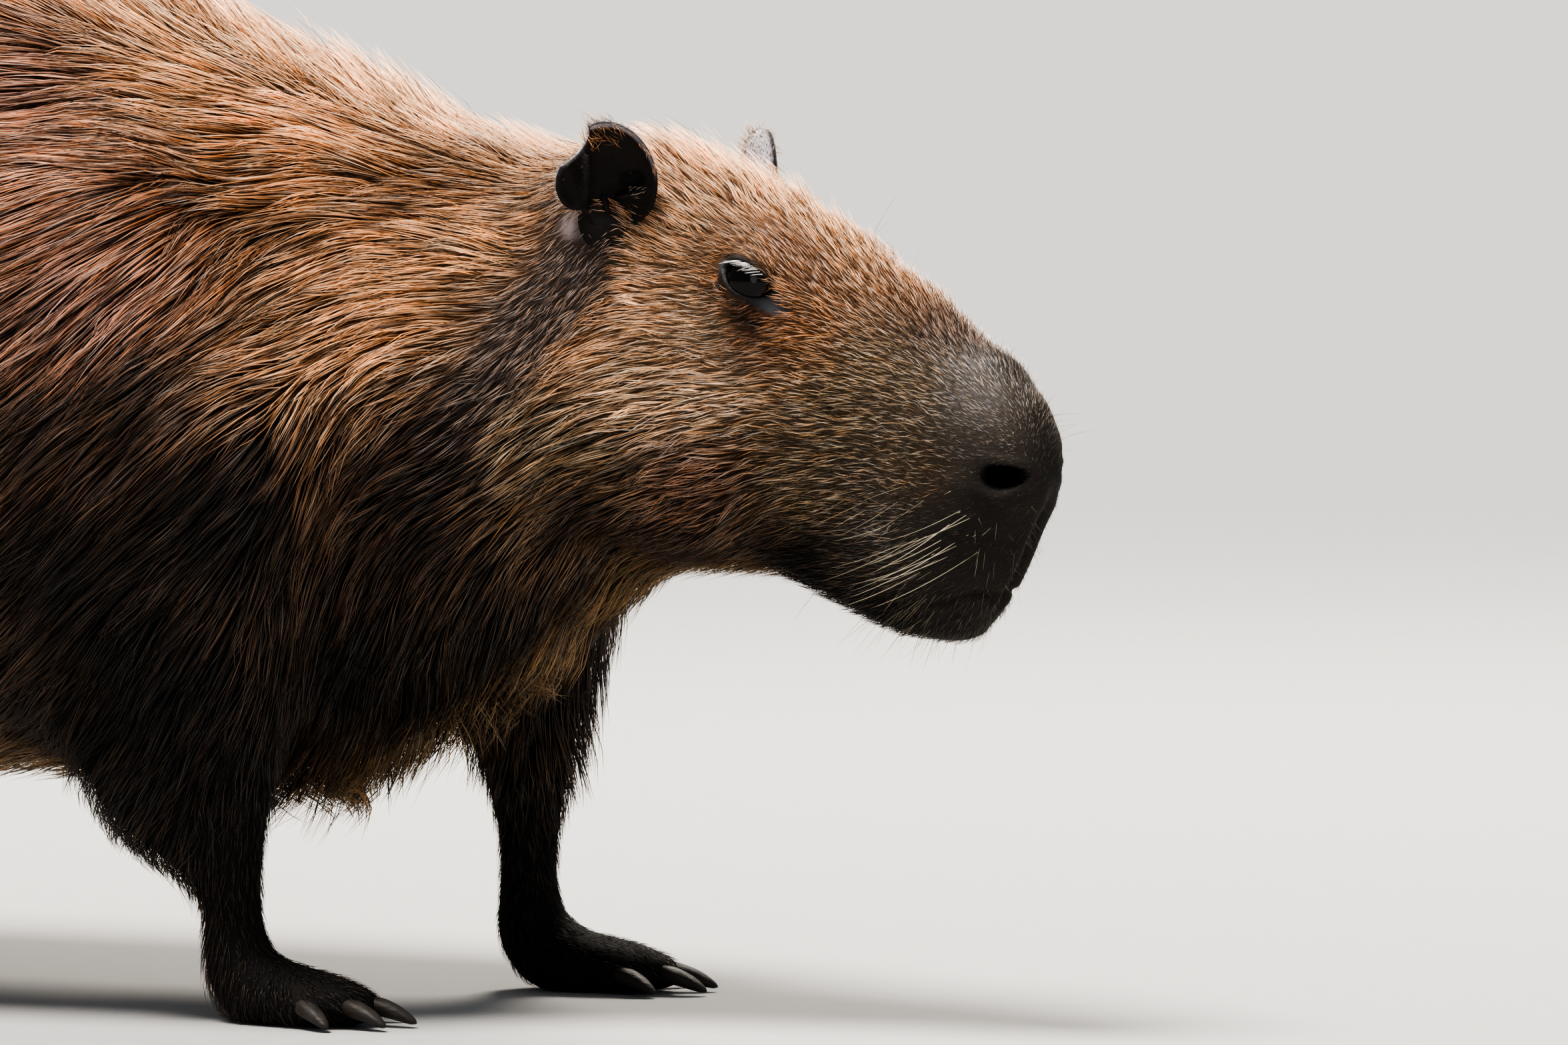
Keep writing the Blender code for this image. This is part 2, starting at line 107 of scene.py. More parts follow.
world = bpy.data.worlds.new("studio")
world.use_nodes = True
world.node_tree.nodes["Background"].inputs["Color"].default_value = (0.90, 0.94, 1.0, 1)
world.node_tree.nodes["Background"].inputs["Strength"].default_value = 0.36
bpy.context.scene.world = world


class Number:
    """A socket that carries one number. Each operator on it adds the Math node that it stands for."""

    def __init__(self, finish, socket):
        self.finish = finish
        self.socket = socket

    def maths(self, operation, first, second):
        return self.finish.node("ShaderNodeMath", {"operation": operation}, {0: first, 1: second})

    def __add__(self, other):
        return self.maths("ADD", self, other)

    def __radd__(self, other):
        return self.maths("ADD", other, self)

    def __rsub__(self, other):
        return self.maths("SUBTRACT", other, self)

    def __mul__(self, other):
        return self.maths("MULTIPLY", self, other)

    def __rmul__(self, other):
        return self.maths("MULTIPLY", other, self)


class Finish:
    """A material. node() adds a node with its settings and sockets, and gives the output asked for."""

    def __init__(self, name, **sockets):
        self.material = bpy.data.materials.new(name)
        self.material.use_nodes = True
        self.tree = self.material.node_tree
        self.shader = self.tree.nodes["Principled BSDF"]
        self.feed(self.shader, sockets)

    def feed(self, node, sockets):
        for name, value in sockets.items():
            key = name.replace("_", " ") if isinstance(name, str) else name
            if isinstance(value, Number):
                self.tree.links.new(value.socket, node.inputs[key])
            else:
                node.inputs[key].default_value = value

    def node(self, kind, settings=None, sockets=None, output=0):
        made = self.tree.nodes.new(kind)
        for name, value in (settings or {}).items():
            setattr(made, name, value)
        self.feed(made, sockets or {})
        return Number(self, made.outputs[output])

    def place(self):
        return self.node("ShaderNodeTexCoord", output="Object")

    def drawn_out(self, along):
        """Object coordinates for grain that runs lengthways."""
        return self.node("ShaderNodeMapping", {}, {"Vector": self.place(), "Scale": (along, 1, 1)})

    def attribute(self, name, output="Color"):
        return self.node("ShaderNodeAttribute", {"attribute_name": name}, output=output)

    def noise(self, scale, detail=3.0, place=None):
        sockets = {"Scale": scale, "Detail": detail, "Vector": place or self.place()}
        return self.node("ShaderNodeTexNoise", {}, sockets)

    def mixed(self, share, first, second, blend="MIX"):
        """Two colours mixed, as a colour."""
        settings = {"data_type": "RGBA", "blend_type": blend}
        return self.node("ShaderNodeMix", settings, {0: share, 6: first, 7: second}, 2)

    def mottled(self, colour, patches):
        """A colour that the patches make darker and lighter."""
        shades = self.mixed(patches, (0.60, 0.60, 0.60, 1), (1.40, 1.38, 1.36, 1))
        return self.mixed(1.0, colour, shades, "MULTIPLY")

    def bump(self, height, strength, distance):
        sockets = {"Height": height, "Strength": strength, "Distance": distance}
        return self.node("ShaderNodeBump", {}, sockets)

    def cover(self, piece):
        piece.data.materials.clear()
        piece.data.materials.append(self.material)


FLOOR_HALF = 160.0
FLOOR_TONES = (0.42, 0.41, 0.40, 1), (0.46, 0.45, 0.44, 1)
bpy.ops.mesh.primitive_plane_add(size=2 * FLOOR_HALF, location=(0, 0, 0))
floor = bpy.context.object
floor.name = "studio_floor"
paper = Finish("pale_paper", Roughness=0.8)
paper.feed(paper.shader, {"Base Color": paper.mixed(paper.noise(60.0), *FLOOR_TONES)})
paper.cover(floor)


# The skin. It is one skin over the whole animal: the CAD's flesh is joined and closed over its thin
# cuts, made finer on the head and finest at eyes, nose and mouth, and drawn in by the coat's depth.
def deselect():
    if bpy.context.mode != "OBJECT":
        bpy.ops.object.mode_set(mode="OBJECT")
    bpy.ops.object.select_all(action="DESELECT")


def only(obj):
    deselect()
    obj.select_set(True)
    bpy.context.view_layer.objects.active = obj
    return obj


def joined(objects, name):
    deselect()
    for obj in objects:
        obj.select_set(True)
    bpy.context.view_layer.objects.active = objects[0]
    bpy.ops.object.join()
    whole = bpy.context.object
    whole.name = name
    return whole


def modified(obj, kind, **settings):
    only(obj)
    change = obj.modifiers.new("change", kind)
    for name, value in settings.items():
        setattr(change, name, value)
    bpy.ops.object.modifier_apply(modifier=change.name)
    return obj


def smooth(obj):
    only(obj)
    bpy.ops.object.shade_smooth()


def merged(obj):
    """Joins the loose triangles of a copied CAD node."""
    only(obj)
    bpy.ops.object.mode_set(mode="EDIT")
    bpy.ops.mesh.select_all(action="SELECT")
    bpy.ops.mesh.remove_doubles(threshold=0.00001)
    bpy.ops.object.mode_set(mode="OBJECT")
    return obj


def copied(source, name):
    """A copy with its own mesh."""
    copy = source.copy()
    copy.data = copy.data.copy()
    copy.parent = None
    copy.name = name
    bpy.context.scene.collection.objects.link(copy)
    return copy


def column(items, key, wide=1, kind=np.float32):
    """One property of a mesh's vertices, faces or loops, as an array of one value or row for each."""
    flat = np.empty(len(items) * wide, kind)
    items.foreach_get(key, flat)
    return flat.reshape(-1, wide) if wide > 1 else flat


def points_of(obj):
    return column(obj.data.vertices, "co", 3).astype(float)


def normals_of(obj):
    return column(obj.data.vertex_normals, "vector", 3).astype(float)


def put_points(obj, points):
    obj.data.vertices.foreach_set("co", points.astype(np.float32).ravel())
    obj.data.update()


def face_middles(obj):
    return column(obj.data.polygons, "center", 3).astype(float)


def choose_faces(obj, chosen):
    """Selects these faces of the mesh and nothing else, and leaves it in edit mode."""
    only(obj)
    bpy.ops.object.mode_set(mode="EDIT")
    bpy.ops.mesh.select_mode(type="FACE")
    bpy.ops.mesh.select_all(action="DESELECT")
    bpy.ops.object.mode_set(mode="OBJECT")
    obj.data.polygons.foreach_set("select", chosen)
    bpy.ops.object.mode_set(mode="EDIT")


def made_finer(obj, chosen):
    """Cuts each chosen face in four."""
    choose_faces(obj, chosen)
    bpy.ops.mesh.subdivide(number_cuts=1, smoothness=0)
    bpy.ops.object.mode_set(mode="OBJECT")


HEAD_PITCH = math.radians(22)
EYE_PLACE = Vector((-0.156, 0.0485, 0.0255))
EYE_RADIUS = 0.0135
across_head = (middle("eye_left") - middle("eye_right")).normalized()
head_turn = Matrix.Rotation(math.atan2(-across_head.x, across_head.y), 3, "Z")
head_axes = np.array(head_turn @ Matrix.Rotation(HEAD_PITCH, 3, "Y"))
between_eyes = (middle("eye_left") + middle("eye_right")) / 2
head_origin = np.array(between_eyes) - head_axes @ np.array((EYE_PLACE.x, 0, EYE_PLACE.z))


def to_head(points):
    """Places in the head's own frame: its nose tip at the origin, X forward, Z up."""
    return (np.asarray(points) - head_origin) @ head_axes


def from_head(points):
    return np.asarray(points) @ head_axes.T + head_origin


def waves(points, size, seed):
    """A slow random wave over the body, from -1 to 1, that parts and gathers the hair."""
    turns = np.random.default_rng(seed).normal(0, 1 / size, (5, 3))
    offsets = np.random.default_rng(seed + 1).random(5) * 6.28
    return np.sin(points @ turns.T + offsets).mean(1) * 1.6


def smoothstep(low, high, values):
    share = np.clip((values - low) / (high - low), 0, 1)
    return share * share * (3 - 2 * share)


def unit(vectors):
    return vectors / np.maximum(np.linalg.norm(vectors, axis=-1, keepdims=True), 1e-12)


def distance_to_line(points, line):
    """How far each point is from a broken line, and how far along it the nearest place is, 0 to 1."""
    best = np.full(len(points), 1e9)
    along = np.zeros(len(points))
    pieces = len(line) - 1
    for number in range(pieces):
        start, end = np.array(line[number]), np.array(line[number + 1])
        way = end - start
        share = np.clip((points - start) @ way / (way @ way), 0, 1)
        gap = np.linalg.norm(points - start - share[:, None] * way, axis=1)
        nearer = gap < best
        best = np.where(nearer, gap, best)
        along = np.where(nearer, (number + share) / pieces, along)
    return best, along


# The flesh is swollen enough to close the CAD's cuts, and stalks are added where the ears stand on it.
CUT_COVER = 0.0007
SKIN_VOXEL = 0.0058
EAR_STALK_PLACE = (-0.238, 0.052, 0.018)
EAR_STALK_RADIUS = 0.0175
FOOT_HEIGHT = 0.038
NOSTRIL_PLACE = np.array((-0.0146, 0.0220, -0.0094))
NOSTRIL_FINEST = 0.0160
FINER_AROUND = [(np.array(EYE_PLACE), 0.027), (NOSTRIL_PLACE, 0.019)]
flesh_nodes = [name for name in sorted(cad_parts) if not name.startswith(("eye_", "claw_", "ear_"))]
flesh = [copied(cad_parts[name], "flesh") for name in flesh_nodes + ["eye_left", "eye_right"]]
for side in (1, -1):
    bpy.ops.mesh.primitive_uv_sphere_add(segments=24, ring_count=16, radius=EAR_STALK_RADIUS)
    stalk = bpy.context.object
    stalk.data.transform(Matrix.Translation(from_head(np.array(EAR_STALK_PLACE) * (1, side, 1))))
    flesh.append(stalk)
skin = merged(joined(flesh, "skin"))
modified(skin, "DISPLACE", strength=CUT_COVER, mid_level=0)
modified(skin, "REMESH", mode="VOXEL", voxel_size=SKIN_VOXEL, adaptivity=0)
modified(skin, "SMOOTH", factor=0.5, iterations=6)

middles = to_head(face_middles(skin))
on_head = (middles[:, 0] > -0.275) & (middles[:, 2] > -0.15) & (middles[:, 2] < 0.12)
near_floor = face_middles(skin)[:, 2] < FOOT_HEIGHT
made_finer(skin, on_head | near_floor)
modified(skin, "SMOOTH", factor=0.5, iterations=5)
middles = to_head(face_middles(skin))
finer = (middles[:, 0] > -0.045) & (middles[:, 2] < -0.015) & (middles[:, 2] > -0.100)
for side in (1, -1):
    for place, reach in FINER_AROUND:
        finer |= np.linalg.norm(middles - place * (1, side, 1), axis=1) < reach
made_finer(skin, finer)
middles = to_head(face_middles(skin))
nostrils = [np.linalg.norm(middles - NOSTRIL_PLACE * (1, side, 1), axis=1) for side in (1, -1)]
made_finer(skin, np.minimum(*nostrils) < NOSTRIL_FINEST)
modified(skin, "SMOOTH", factor=0.5, iterations=3)


# The lie of the coat, as a groomer would note it: guide hairs, each with its place, the way it lies,
# its length in mm, its lift from the skin in degrees, the spacing there in mm, and its colour.
# The first colour is the coat's gold made paler as painted sunlight on the crest, brow and temples.
PALE_SUNLIT = (0.95, 0.550, 0.310)
HONEY = (0.88, 0.475, 0.240)
GOLD = (0.66, 0.325, 0.150)
COPPER = (0.47, 0.210, 0.105)
# The next colour is brown with a painted lilac sheen, on the upper flanks and back.
ROSE_SHEEN = (0.50, 0.255, 0.172)
BROWN = (0.26, 0.138, 0.085)
UMBER = (0.090, 0.052, 0.034)
RUSSET = (0.30, 0.185, 0.105)
# The next colour is the legs' own dark coat, and low on the shoulder and chest it is partly painted
# shade.
DARK_AND_SHADED = (0.030, 0.021, 0.016)
# The next colour is the grey-brown of each ear's painted shadow down the neck.
EAR_SHADOW_SMOKE = (0.290, 0.205, 0.165)
STRAW = (0.28, 0.170, 0.075)
TAN = (0.42, 0.285, 0.165)
# The next colour is a painted sheen: light grey-tan that stands for the highlight on top of the nose.
NOSE_SHEEN_ASH = (0.82, 0.72, 0.650)
WHEAT = (0.72, 0.47, 0.290)
PEPPER = (0.310, 0.250, 0.200)
SOOT = (0.120, 0.096, 0.080)
CREAM = (1.00, 0.81, 0.58)
# The next colour is a painted glint, near-white, that some hair tips are drawn toward.
TIP_GLINT = (1.00, 0.88, 0.81)

BODY_GUIDES = [
    ((0.340, 0.00, 0.390), (-1, 0, -0.05), 34, 23, 2.5, PALE_SUNLIT),
    ((0.270, 0.00, 0.420), (-1, 0, 0.02), 46, 26, 2.8, PALE_SUNLIT),
    ((0.200, 0.00, 0.445), (-1, 0, -0.06), 54, 25, 3.0, PALE_SUNLIT),
    ((0.100, 0.00, 0.485), (-1, 0, 0.10), 52, 20, 3.4, HONEY),
    ((0.280, 0.045, 0.416), (-1, 0.15, -0.45), 44, 15, 2.8, HONEY),
    ((0.200, 0.050, 0.440), (-1, 0.15, -0.50), 50, 14, 3.0, HONEY),
    ((-0.05, 0.00, 0.535), (-1, 0, 0.02), 50, 15, 4.5, COPPER),
    ((-0.25, 0.00, 0.555), (-1, 0, -0.05), 48, 14, 4.9, COPPER),
    ((-0.45, 0.00, 0.535), (-1, 0, -0.35), 46, 14, 4.8, BROWN),
    ((-0.57, 0.00, 0.440), (-0.35, 0, -1), 40, 14, 4.8, BROWN),
    ((-0.56, 0.00, 0.300), (0, 0, -1), 30, 14, 4.5, RUSSET),
    ((0.320, 0.07, 0.395), (-1, 0, -0.60), 38, 13, 2.6, GOLD),
    ((0.250, 0.09, 0.410), (-1, 0, -1.00), 44, 12, 2.8, GOLD),
    ((0.150, 0.11, 0.450), (-1, 0, -0.85), 50, 12, 3.1, ROSE_SHEEN),
    ((0.330, 0.11, 0.360), (-1, 0, -0.55), 40, 14, 2.6, GOLD),
    ((0.300, 0.13, 0.325), (-1, 0, -0.95), 44, 13, 2.8, HONEY),
    # Low on the shoulder and chest the darkest rows are partly painted shade.
    ((0.265, 0.15, 0.250), (-1, 0, -1.05), 46, 13, 3.0, DARK_AND_SHADED),
    ((0.310, 0.14, 0.260), (-1, 0, -1.35), 46, 13, 2.9, UMBER),
    ((0.330, 0.12, 0.200), (-0.60, 0, -1), 44, 14, 3.0, UMBER),
    ((0.220, 0.14, 0.385), (-1, 0, -0.80), 50, 12, 2.9, COPPER),
    ((0.200, 0.16, 0.350), (-1, 0, -0.80), 50, 12, 3.0, ROSE_SHEEN),
    ((0.215, 0.16, 0.300), (-1, 0, -0.95), 50, 13, 3.0, UMBER),
    ((0.180, 0.17, 0.280), (-1, 0, -0.95), 50, 13, 3.0, UMBER),
    ((0.190, 0.17, 0.230), (-1, 0, -1.05), 48, 13, 3.1, DARK_AND_SHADED),
    ((0.220, 0.16, 0.165), (-0.75, 0, -1), 42, 13, 3.2, DARK_AND_SHADED),
    ((0.100, 0.16, 0.420), (-1, 0, -0.25), 50, 13, 3.3, ROSE_SHEEN),
    ((0.080, 0.18, 0.300), (-1, 0, -0.80), 50, 13, 3.5, BROWN),
    ((0.100, 0.17, 0.180), (-1, 0, -0.85), 46, 13, 3.6, UMBER),
    ((-0.05, 0.17, 0.450), (-1, 0, -0.25), 50, 13, 4.4, ROSE_SHEEN),
    ((-0.10, 0.19, 0.300), (-1, 0, -0.45), 50, 13, 4.5, BROWN),
    ((-0.10, 0.16, 0.170), (-1, 0, -0.55), 46, 13, 4.5, UMBER),
    ((-0.30, 0.16, 0.460), (-1, 0, -0.35), 48, 13, 4.8, ROSE_SHEEN),
    ((-0.38, 0.19, 0.300), (-0.9, 0, -0.6), 46, 13, 4.8, BROWN),
    ((-0.50, 0.15, 0.400), (-0.8, 0, -0.8), 44, 13, 4.8, BROWN),
    ((-0.55, 0.10, 0.300), (-0.4, 0, -1), 38, 13, 4.5, RUSSET),
    ((0.120, 0.00, 0.100), (-1, 0.2, -0.25), 44, 18, 4.3, TAN),
    ((-0.15, 0.00, 0.120), (-1, 0.2, -0.20), 44, 16, 4.5, TAN),
    ((-0.40, 0.00, 0.160), (-1, 0.2, -0.20), 36, 16, 4.5, TAN),
    ((0.372, 0.00, 0.222), (-0.20, 0, -1), 34, 26, 3.0, STRAW),
    ((0.360, 0.04, 0.210), (-0.70, 0, -0.75), 32, 14, 3.0, UMBER),
    ((0.345, 0.00, 0.180), (0.35, 0, -1), 46, 34, 3.0, STRAW),
    ((0.345, 0.05, 0.190), (-0.20, 0, -1), 44, 15, 3.0, DARK_AND_SHADED),
    ((0.300, 0.00, 0.140), (0.70, 0, -1), 52, 38, 3.1, STRAW),
    ((0.300, 0.04, 0.150), (0.20, 0, -1), 50, 20, 3.1, DARK_AND_SHADED),
    ((0.290, 0.10, 0.180), (-0.35, 0, -1), 44, 14, 3.1, DARK_AND_SHADED),
    ((0.220, 0.00, 0.115), (0.50, 0, -1), 46, 34, 3.4, STRAW),
    ((0.220, 0.05, 0.115), (0.10, 0, -1), 42, 18, 3.4, UMBER),
    ((0.230, 0.10, 0.140), (-0.25, 0.1, -1), 24, 11, 2.9, DARK_AND_SHADED),
    ((0.170, 0.12, 0.110), (-0.60, 0.1, -0.9), 28, 12, 3.0, DARK_AND_SHADED),
    ((0.250, 0.10, 0.090), (-0.10, 0, -1), 14, 10, 2.6, DARK_AND_SHADED),
    ((0.260, 0.10, 0.045), (0, 0, -1), 10, 10, 2.5, DARK_AND_SHADED),
    ((0.310, 0.10, 0.020), (1, 0, -0.3), 8, 12, 2.5, DARK_AND_SHADED),
    ((-0.38, 0.19, 0.220), (-0.5, 0, -1), 40, 13, 4.1, BROWN),
    ((-0.31, 0.17, 0.170), (-0.4, 0, -1), 32, 12, 3.9, UMBER),
    ((-0.45, 0.13, 0.110), (-0.2, 0, -1), 17, 11, 3.2, UMBER),
    ((-0.41, 0.12, 0.060), (0.4, 0, -1), 11, 10, 2.9, DARK_AND_SHADED),
    ((-0.33, 0.12, 0.020), (1, 0, -0.3), 8, 12, 2.7, DARK_AND_SHADED),
    ((-0.60, 0.00, 0.360), (-0.6, 0, -0.8), 12, 14, 3.0, BROWN),
]
HEAD_GUIDES = [
    ((-0.002, 0.000, 0.004), (-1, 0, 0.10), 3, 24, 1.15, SOOT),
    ((-0.018, 0.000, 0.022), (-1, 0, 0.05), 4, 32, 1.15, PEPPER),
    ((-0.042, 0.000, 0.032), (-1, 0, 0.05), 6, 34, 1.3, UMBER),
    # This row paints the sheen beside the ridge of the nose.
    ((-0.042, 0.018, 0.028), (-1, 0.1, 0.00), 6, 28, 1.3, NOSE_SHEEN_ASH),
    ((-0.070, 0.000, 0.038), (-1, 0, 0.10), 8, 34, 1.4, BROWN),
    ((-0.100, 0.000, 0.045), (-1, 0, 0.10), 12, 32, 1.5, GOLD),
    ((-0.140, 0.000, 0.054), (-1, 0, 0.05), 17, 28, 1.7, HONEY),
    ((-0.180, 0.000, 0.060), (-1, 0, 0.03), 24, 26, 2.0, PALE_SUNLIT),
    ((-0.225, 0.000, 0.064), (-1, 0, 0.06), 32, 28, 2.3, PALE_SUNLIT),
    ((-0.150, 0.040, 0.046), (-1, 0.2, 0.10), 11, 16, 1.5, COPPER),
    ((-0.190, 0.050, 0.040), (-1, 0, 0.12), 17, 16, 1.8, PALE_SUNLIT),
    ((-0.216, 0.058, 0.018), (-1, 0.1, -0.10), 10, 16, 1.7, HONEY),
    ((-0.125, 0.042, 0.015), (-1, 0.1, -0.25), 9, 14, 1.5, GOLD),
    ((-0.160, 0.055, 0.002), (-0.8, 0, -0.60), 12, 14, 1.6, WHEAT),
    ((-0.190, 0.062, 0.005), (-0.9, 0, -0.45), 17, 14, 1.8, PALE_SUNLIT),
    ((-0.200, 0.065, 0.014), (-0.9, 0, -0.40), 15, 14, 1.7, PALE_SUNLIT),
    ((-0.174, 0.053, 0.027), (-0.9, 0, -0.35), 7, 14, 1.25, GOLD),
    ((-0.156, 0.046, 0.038), (-0.9, 0.1, 0.10), 7, 14, 1.3, GOLD),
    ((-0.150, 0.054, 0.009), (-0.8, 0, -0.60), 7, 14, 1.35, COPPER),
    ((-0.014, 0.018, 0.012), (-1, 0.1, -0.20), 3.2, 26, 1.15, PEPPER),
    # This row paints the sheen on the side of the nose.
    ((-0.038, 0.030, 0.018), (-1, 0.1, -0.15), 5, 22, 1.3, NOSE_SHEEN_ASH),
    ((-0.034, 0.032, 0.000), (-1, 0.1, -0.20), 4.5, 24, 1.25, PEPPER),
    ((-0.060, 0.038, 0.014), (-1, 0.1, -0.20), 7, 20, 1.35, TAN),
    ((-0.085, 0.043, 0.012), (-1, 0.1, -0.20), 9, 16, 1.5, TAN),
    ((-0.048, 0.040, -0.016), (-1, 0.1, -0.30), 7, 20, 1.35, TAN),
    ((-0.018, 0.028, -0.022), (-0.85, 0.1, -0.55), 3.5, 22, 1.2, SOOT),
    ((-0.025, 0.036, -0.045), (-0.85, 0.1, -0.55), 5, 18, 1.3, SOOT),
    ((-0.010, 0.018, -0.040), (-0.85, 0.1, -0.55), 4, 20, 1.2, SOOT),
    ((-0.050, 0.043, -0.055), (-0.85, 0.1, -0.55), 8, 18, 1.4, PEPPER),
    ((-0.095, 0.050, -0.012), (-0.9, 0.1, -0.35), 12, 16, 1.65, TAN),
    ((-0.090, 0.050, -0.050), (-0.85, 0, -0.50), 13, 15, 1.6, TAN),
    ((-0.140, 0.060, -0.020), (-0.85, 0, -0.50), 17, 15, 1.8, WHEAT),
    ((-0.135, 0.060, -0.060), (-0.85, 0, -0.50), 20, 14, 1.9, BROWN),
    ((-0.180, 0.070, -0.035), (-0.82, 0, -0.55), 26, 14, 2.1, WHEAT),
    ((-0.190, 0.074, -0.070), (-0.80, 0, -0.60), 28, 14, 2.2, TAN),
    # The next four rows lie in each ear's painted shadow down the neck.
    ((-0.231, 0.067, 0.012), (-0.35, 0, -0.95), 8, 13, 1.35, EAR_SHADOW_SMOKE),
    ((-0.2334, 0.070, 0.002), (-0.30, 0, -0.95), 11, 13, 1.45, EAR_SHADOW_SMOKE),
    ((-0.237, 0.078, -0.022), (-0.30, 0, -0.95), 15, 14, 1.6, EAR_SHADOW_SMOKE),
    ((-0.241, 0.085, -0.048), (-0.35, 0, -0.95), 20, 14, 1.9, EAR_SHADOW_SMOKE),
    ((-0.243, 0.092, -0.080), (-0.50, 0, -0.88), 24, 13, 2.4, UMBER),
    ((-0.268, 0.082, -0.004), (-0.95, 0, -0.25), 30, 14, 2.3, HONEY),
    ((-0.272, 0.090, -0.040), (-0.80, 0, -0.65), 36, 14, 2.4, HONEY),
    ((-0.205, 0.078, -0.030), (-0.75, 0, -0.65), 24, 14, 2.1, HONEY),
    ((-0.212, 0.084, -0.062), (-0.75, 0, -0.68), 28, 14, 2.3, TAN),
    ((-0.250, 0.088, -0.110), (-0.75, 0, -0.70), 42, 14, 2.7, UMBER),
    ((-0.180, 0.065, -0.090), (-0.85, 0, -0.50), 28, 14, 2.2, UMBER),
    ((-0.140, 0.045, -0.100), (-0.85, 0, -0.50), 20, 15, 2.0, UMBER),
    ((-0.090, 0.030, -0.092), (-0.85, 0, -0.45), 14, 15, 1.8, DARK_AND_SHADED),
    ((-0.045, 0.020, -0.098), (-0.6, 0, -0.80), 9, 18, 1.6, DARK_AND_SHADED),
    ((-0.022, 0.010, -0.085), (-0.3, 0, -0.95), 6, 18, 1.5, SOOT),
    ((-0.110, 0.000, -0.104), (-1, 0, -0.25), 18, 20, 2.2, STRAW),
    ((-0.180, 0.000, -0.125), (-0.95, 0, -0.35), 30, 20, 2.5, STRAW),
]


# The columns of a guide's other values.
LENGTH, LIFT, SPACING, COLOUR = 0, 1, 2, slice(3, 6)


def guide_rows():
    """The guides of both sides in the model's frame: places, ways, and rows of the other values."""
    places, ways, rest = [], [], []
    for guides, on_head in ((BODY_GUIDES, False), (HEAD_GUIDES, True)):
        for place, way, *values, colour in guides:
            for side in (1, -1):
                flip = np.array((1, side, 1))
                place_here, way_here = np.array(place) * flip, unit(np.array(way, float)) * flip
                places.append(from_head(place_here) if on_head else place_here)
                ways.append(head_axes @ way_here if on_head else way_here)
                rest.append((*values, *colour))
    return np.array(places), np.array(ways), np.array(rest)


GUIDE_PLACES, GUIDE_WAYS, GUIDE_VALUES = guide_rows()
GUIDE_SOFTENING = 0.010


def coat_at(points, block=20000):
    """What the guides say at these points: ways, then length, lift, spacing and colour."""
    ways, values = [], []
    for start in range(0, len(points), block):
        some = points[start:start + block]
        gap = ((some[:, None, :] - GUIDE_PLACES) ** 2).sum(2)
        weight = 1 / (gap + GUIDE_SOFTENING ** 2) ** 2
        weight /= weight.sum(1, keepdims=True)
        ways.append(weight @ GUIDE_WAYS)
        values.append(weight @ GUIDE_VALUES)
    return unit(np.vstack(ways)), np.vstack(values)


# The skin is drawn in by the depth of the coat that lies on it, and the folds of the face are worked
# into it: lids round each eyeball, nostrils, the cleft of the lip, the mouth and the creases by the eye.
COAT_SHARE = 0.62
SKIN_TOP = 0.0006
surface, normals = points_of(skin), normals_of(skin)
values = coat_at(surface)[1]
depth = SKIN_TOP + COAT_SHARE * values[:, LENGTH] / 1000 * np.sin(np.radians(values[:, LIFT]))
soles = smoothstep(0.004, 0.016, surface[:, 2])
put_points(skin, surface - normals * (depth * soles)[:, None])
modified(skin, "SMOOTH", factor=0.5, iterations=2)
surface = points_of(skin)
surface[:, 2] = np.maximum(surface[:, 2], 0)
put_points(skin, surface)

LID_THICKNESS = 0.0017
EYE_HALF_WIDTH = 0.0131
EYE_UPPER, EYE_LOWER = 0.0066, 0.0070
EYE_SLANT = math.radians(6)
EYE_OUTWARD = np.array((0.30, 0.92, 0.22))
LID_FOLDS = [
    # How high each fold stands, how far above the slit it runs, its half width and its half length
    (0.0011, 0.0098, 0.0022, 0.011),
    (0.0006, -0.0088, 0.0018, 0.010),
]


def eye_axes(side):
    """The eyeball's axes in the head's frame: along the slit to the front, up across it, and outward."""
    out = unit(EYE_OUTWARD * (1, side, 1))
    along = np.array((math.cos(EYE_SLANT), 0, -math.sin(EYE_SLANT)))
    along = unit(along - out * (along @ out))
    up = np.cross(along, out) * side
    return along, unit(up), out


def slit_edge(across):
    """The upper and the lower edge of the eye's opening at these places along the slit."""
    share = np.clip(1 - (across / EYE_HALF_WIDTH) ** 2, 0, 1)
    return EYE_UPPER * share ** 0.72, -EYE_LOWER * share ** 0.80


def in_eye_frame(local, side):
    """How far each point is along the slit, above it and outward, and its way from the ball's middle."""
    along, up, out = eye_axes(side)
    from_middle = local - np.array(EYE_PLACE) * (1, side, 1)
    return from_middle @ along, from_middle @ up, from_middle @ out, from_middle


local = to_head(points_of(skin))
local_normals = normals_of(skin) @ head_axes
for side in (1, -1):
    across, above, outward, from_middle = in_eye_frame(local, side)
    reach = np.linalg.norm(from_middle, axis=1)
    facing = smoothstep(-0.004, 0.003, outward)
    spread = np.hypot(across, above * 1.25)
    wanted = EYE_RADIUS + LID_THICKNESS
    for high, place, wide, long in LID_FOLDS:
        wanted = wanted + high * np.exp(-((above - place) / wide) ** 2) * np.exp(-(across / long) ** 2)
    near = (1 - smoothstep(0.0125, 0.0165, spread)) * facing
    new_reach = reach + (wanted - reach) * near
    on_ball = (local - from_middle) + unit(from_middle) * new_reach[:, None]
    local = np.where((near > 0)[:, None], on_ball, local)

